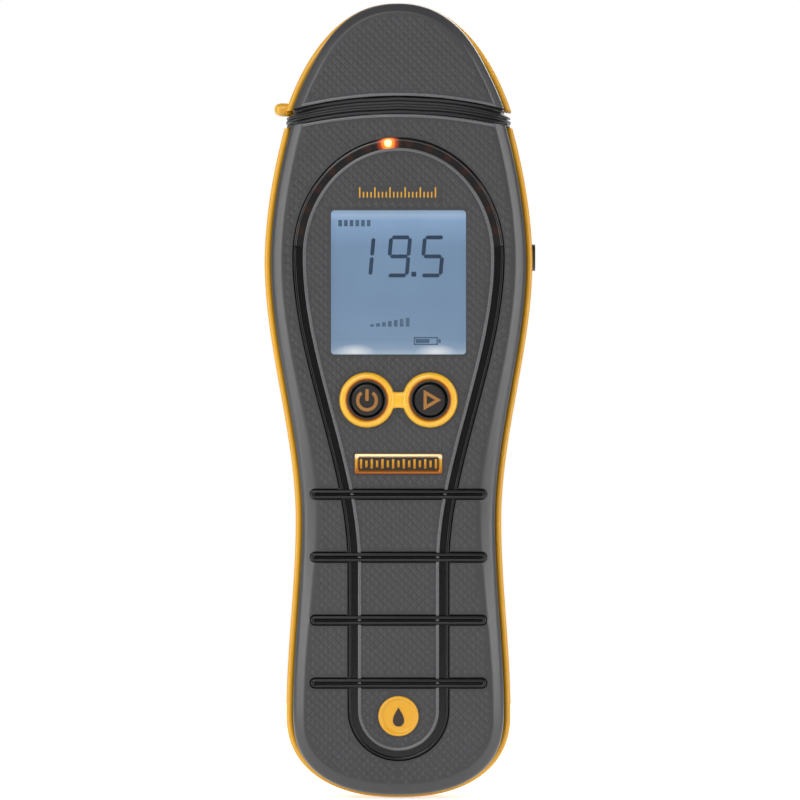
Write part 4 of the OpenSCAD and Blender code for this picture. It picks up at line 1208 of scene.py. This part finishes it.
def stageAndLight():
    # pale round floor, white surroundings and soft boxes
    floor = {"radius": 600.0, "rows": 12, "cols": 96, "z": -0.02}
    grid = [
        np.insert(circle(radius, count=floor["cols"]), 2, floor["z"], axis=1)
        for radius in np.linspace(0, floor["radius"], floor["rows"])]
    disc = newMesh("floorDisc", [(np.array(grid), False, True)])
    material, tree, shader, where = newMaterial("paleFloor", {
        "Roughness": 0.7, "Emission Strength": 0.6, "Emission Color": (1, 1, 1, 1)})
    cloud = addNode(tree, "TexNoise", {"Scale": 6.0}, {"Vector": where}, "Fac")
    paint(tree, shader, cloud, [(0.3, "#F4F4F4"), (0.7, "#F8F8F8")])
    setMaterial(disc, material)

    scene = bpy.context.scene
    world = bpy.data.worlds.new("surround")
    world.use_nodes = True
    tree = world.node_tree
    background = tree.nodes["Background"]
    ray = addNode(tree, "LightPath", output="Is Camera Ray")
    level = addNode(tree, "MapRange", {"To Min": 0.38, "To Max": 1.0}, {"Value": ray})
    tree.links.new(level, background.inputs["Strength"])
    background.inputs["Color"].default_value = (1, 1, 1, 1)
    scene.world = world
    scene.view_settings.view_transform = "Standard"

    lamps = {
        # place and size in metres, power in watts
        "keyBox": ((-0.3, -0.95, 0.7), (0.6, 0.5), 7.0),
        "leftStrip": ((-0.5, -0.2, 0.13), (0.12, 0.7), 2.2),
        "rightStrip": ((0.5, -0.2, 0.13), (0.12, 0.7), 2.2),
        "backBox": ((0.2, 0.8, 0.5), (0.6, 0.5), 4.0),
    }
    target = Vector((0, 0, 0.09))
    for name, (place, size, power) in lamps.items():
        data = bpy.data.lights.new(name, "AREA")
        data.shape, data.size, data.size_y, data.energy = "RECTANGLE", *size, power
        lamp = bpy.data.objects.new(name, data)
        lamp.location = place
        lamp.rotation_euler = (target - Vector(place)).to_track_quat("-Z", "Y").to_euler()
        scene.collection.objects.link(lamp)


def camera():
    view = {"lens": 400.0, "sensor": 36.0, "across": 175.88, "x": 0.33, "z": 87.5, "planeY": -8.0}
    data = bpy.data.cameras.new("camera")
    data.lens, data.sensor_width = view["lens"], view["sensor"]
    data.clip_end = 10
    distance = view["across"] * view["lens"] / view["sensor"]
    eye = bpy.data.objects.new("camera", data)
    eye.location = (view["x"] * mm, (view["planeY"] - distance) * mm, view["z"] * mm)
    eye.rotation_euler = (pi / 2, 0, 0)
    bpy.context.scene.collection.objects.link(eye)
    bpy.context.scene.camera = eye


print("stage, light and camera")
stageAndLight()
camera()
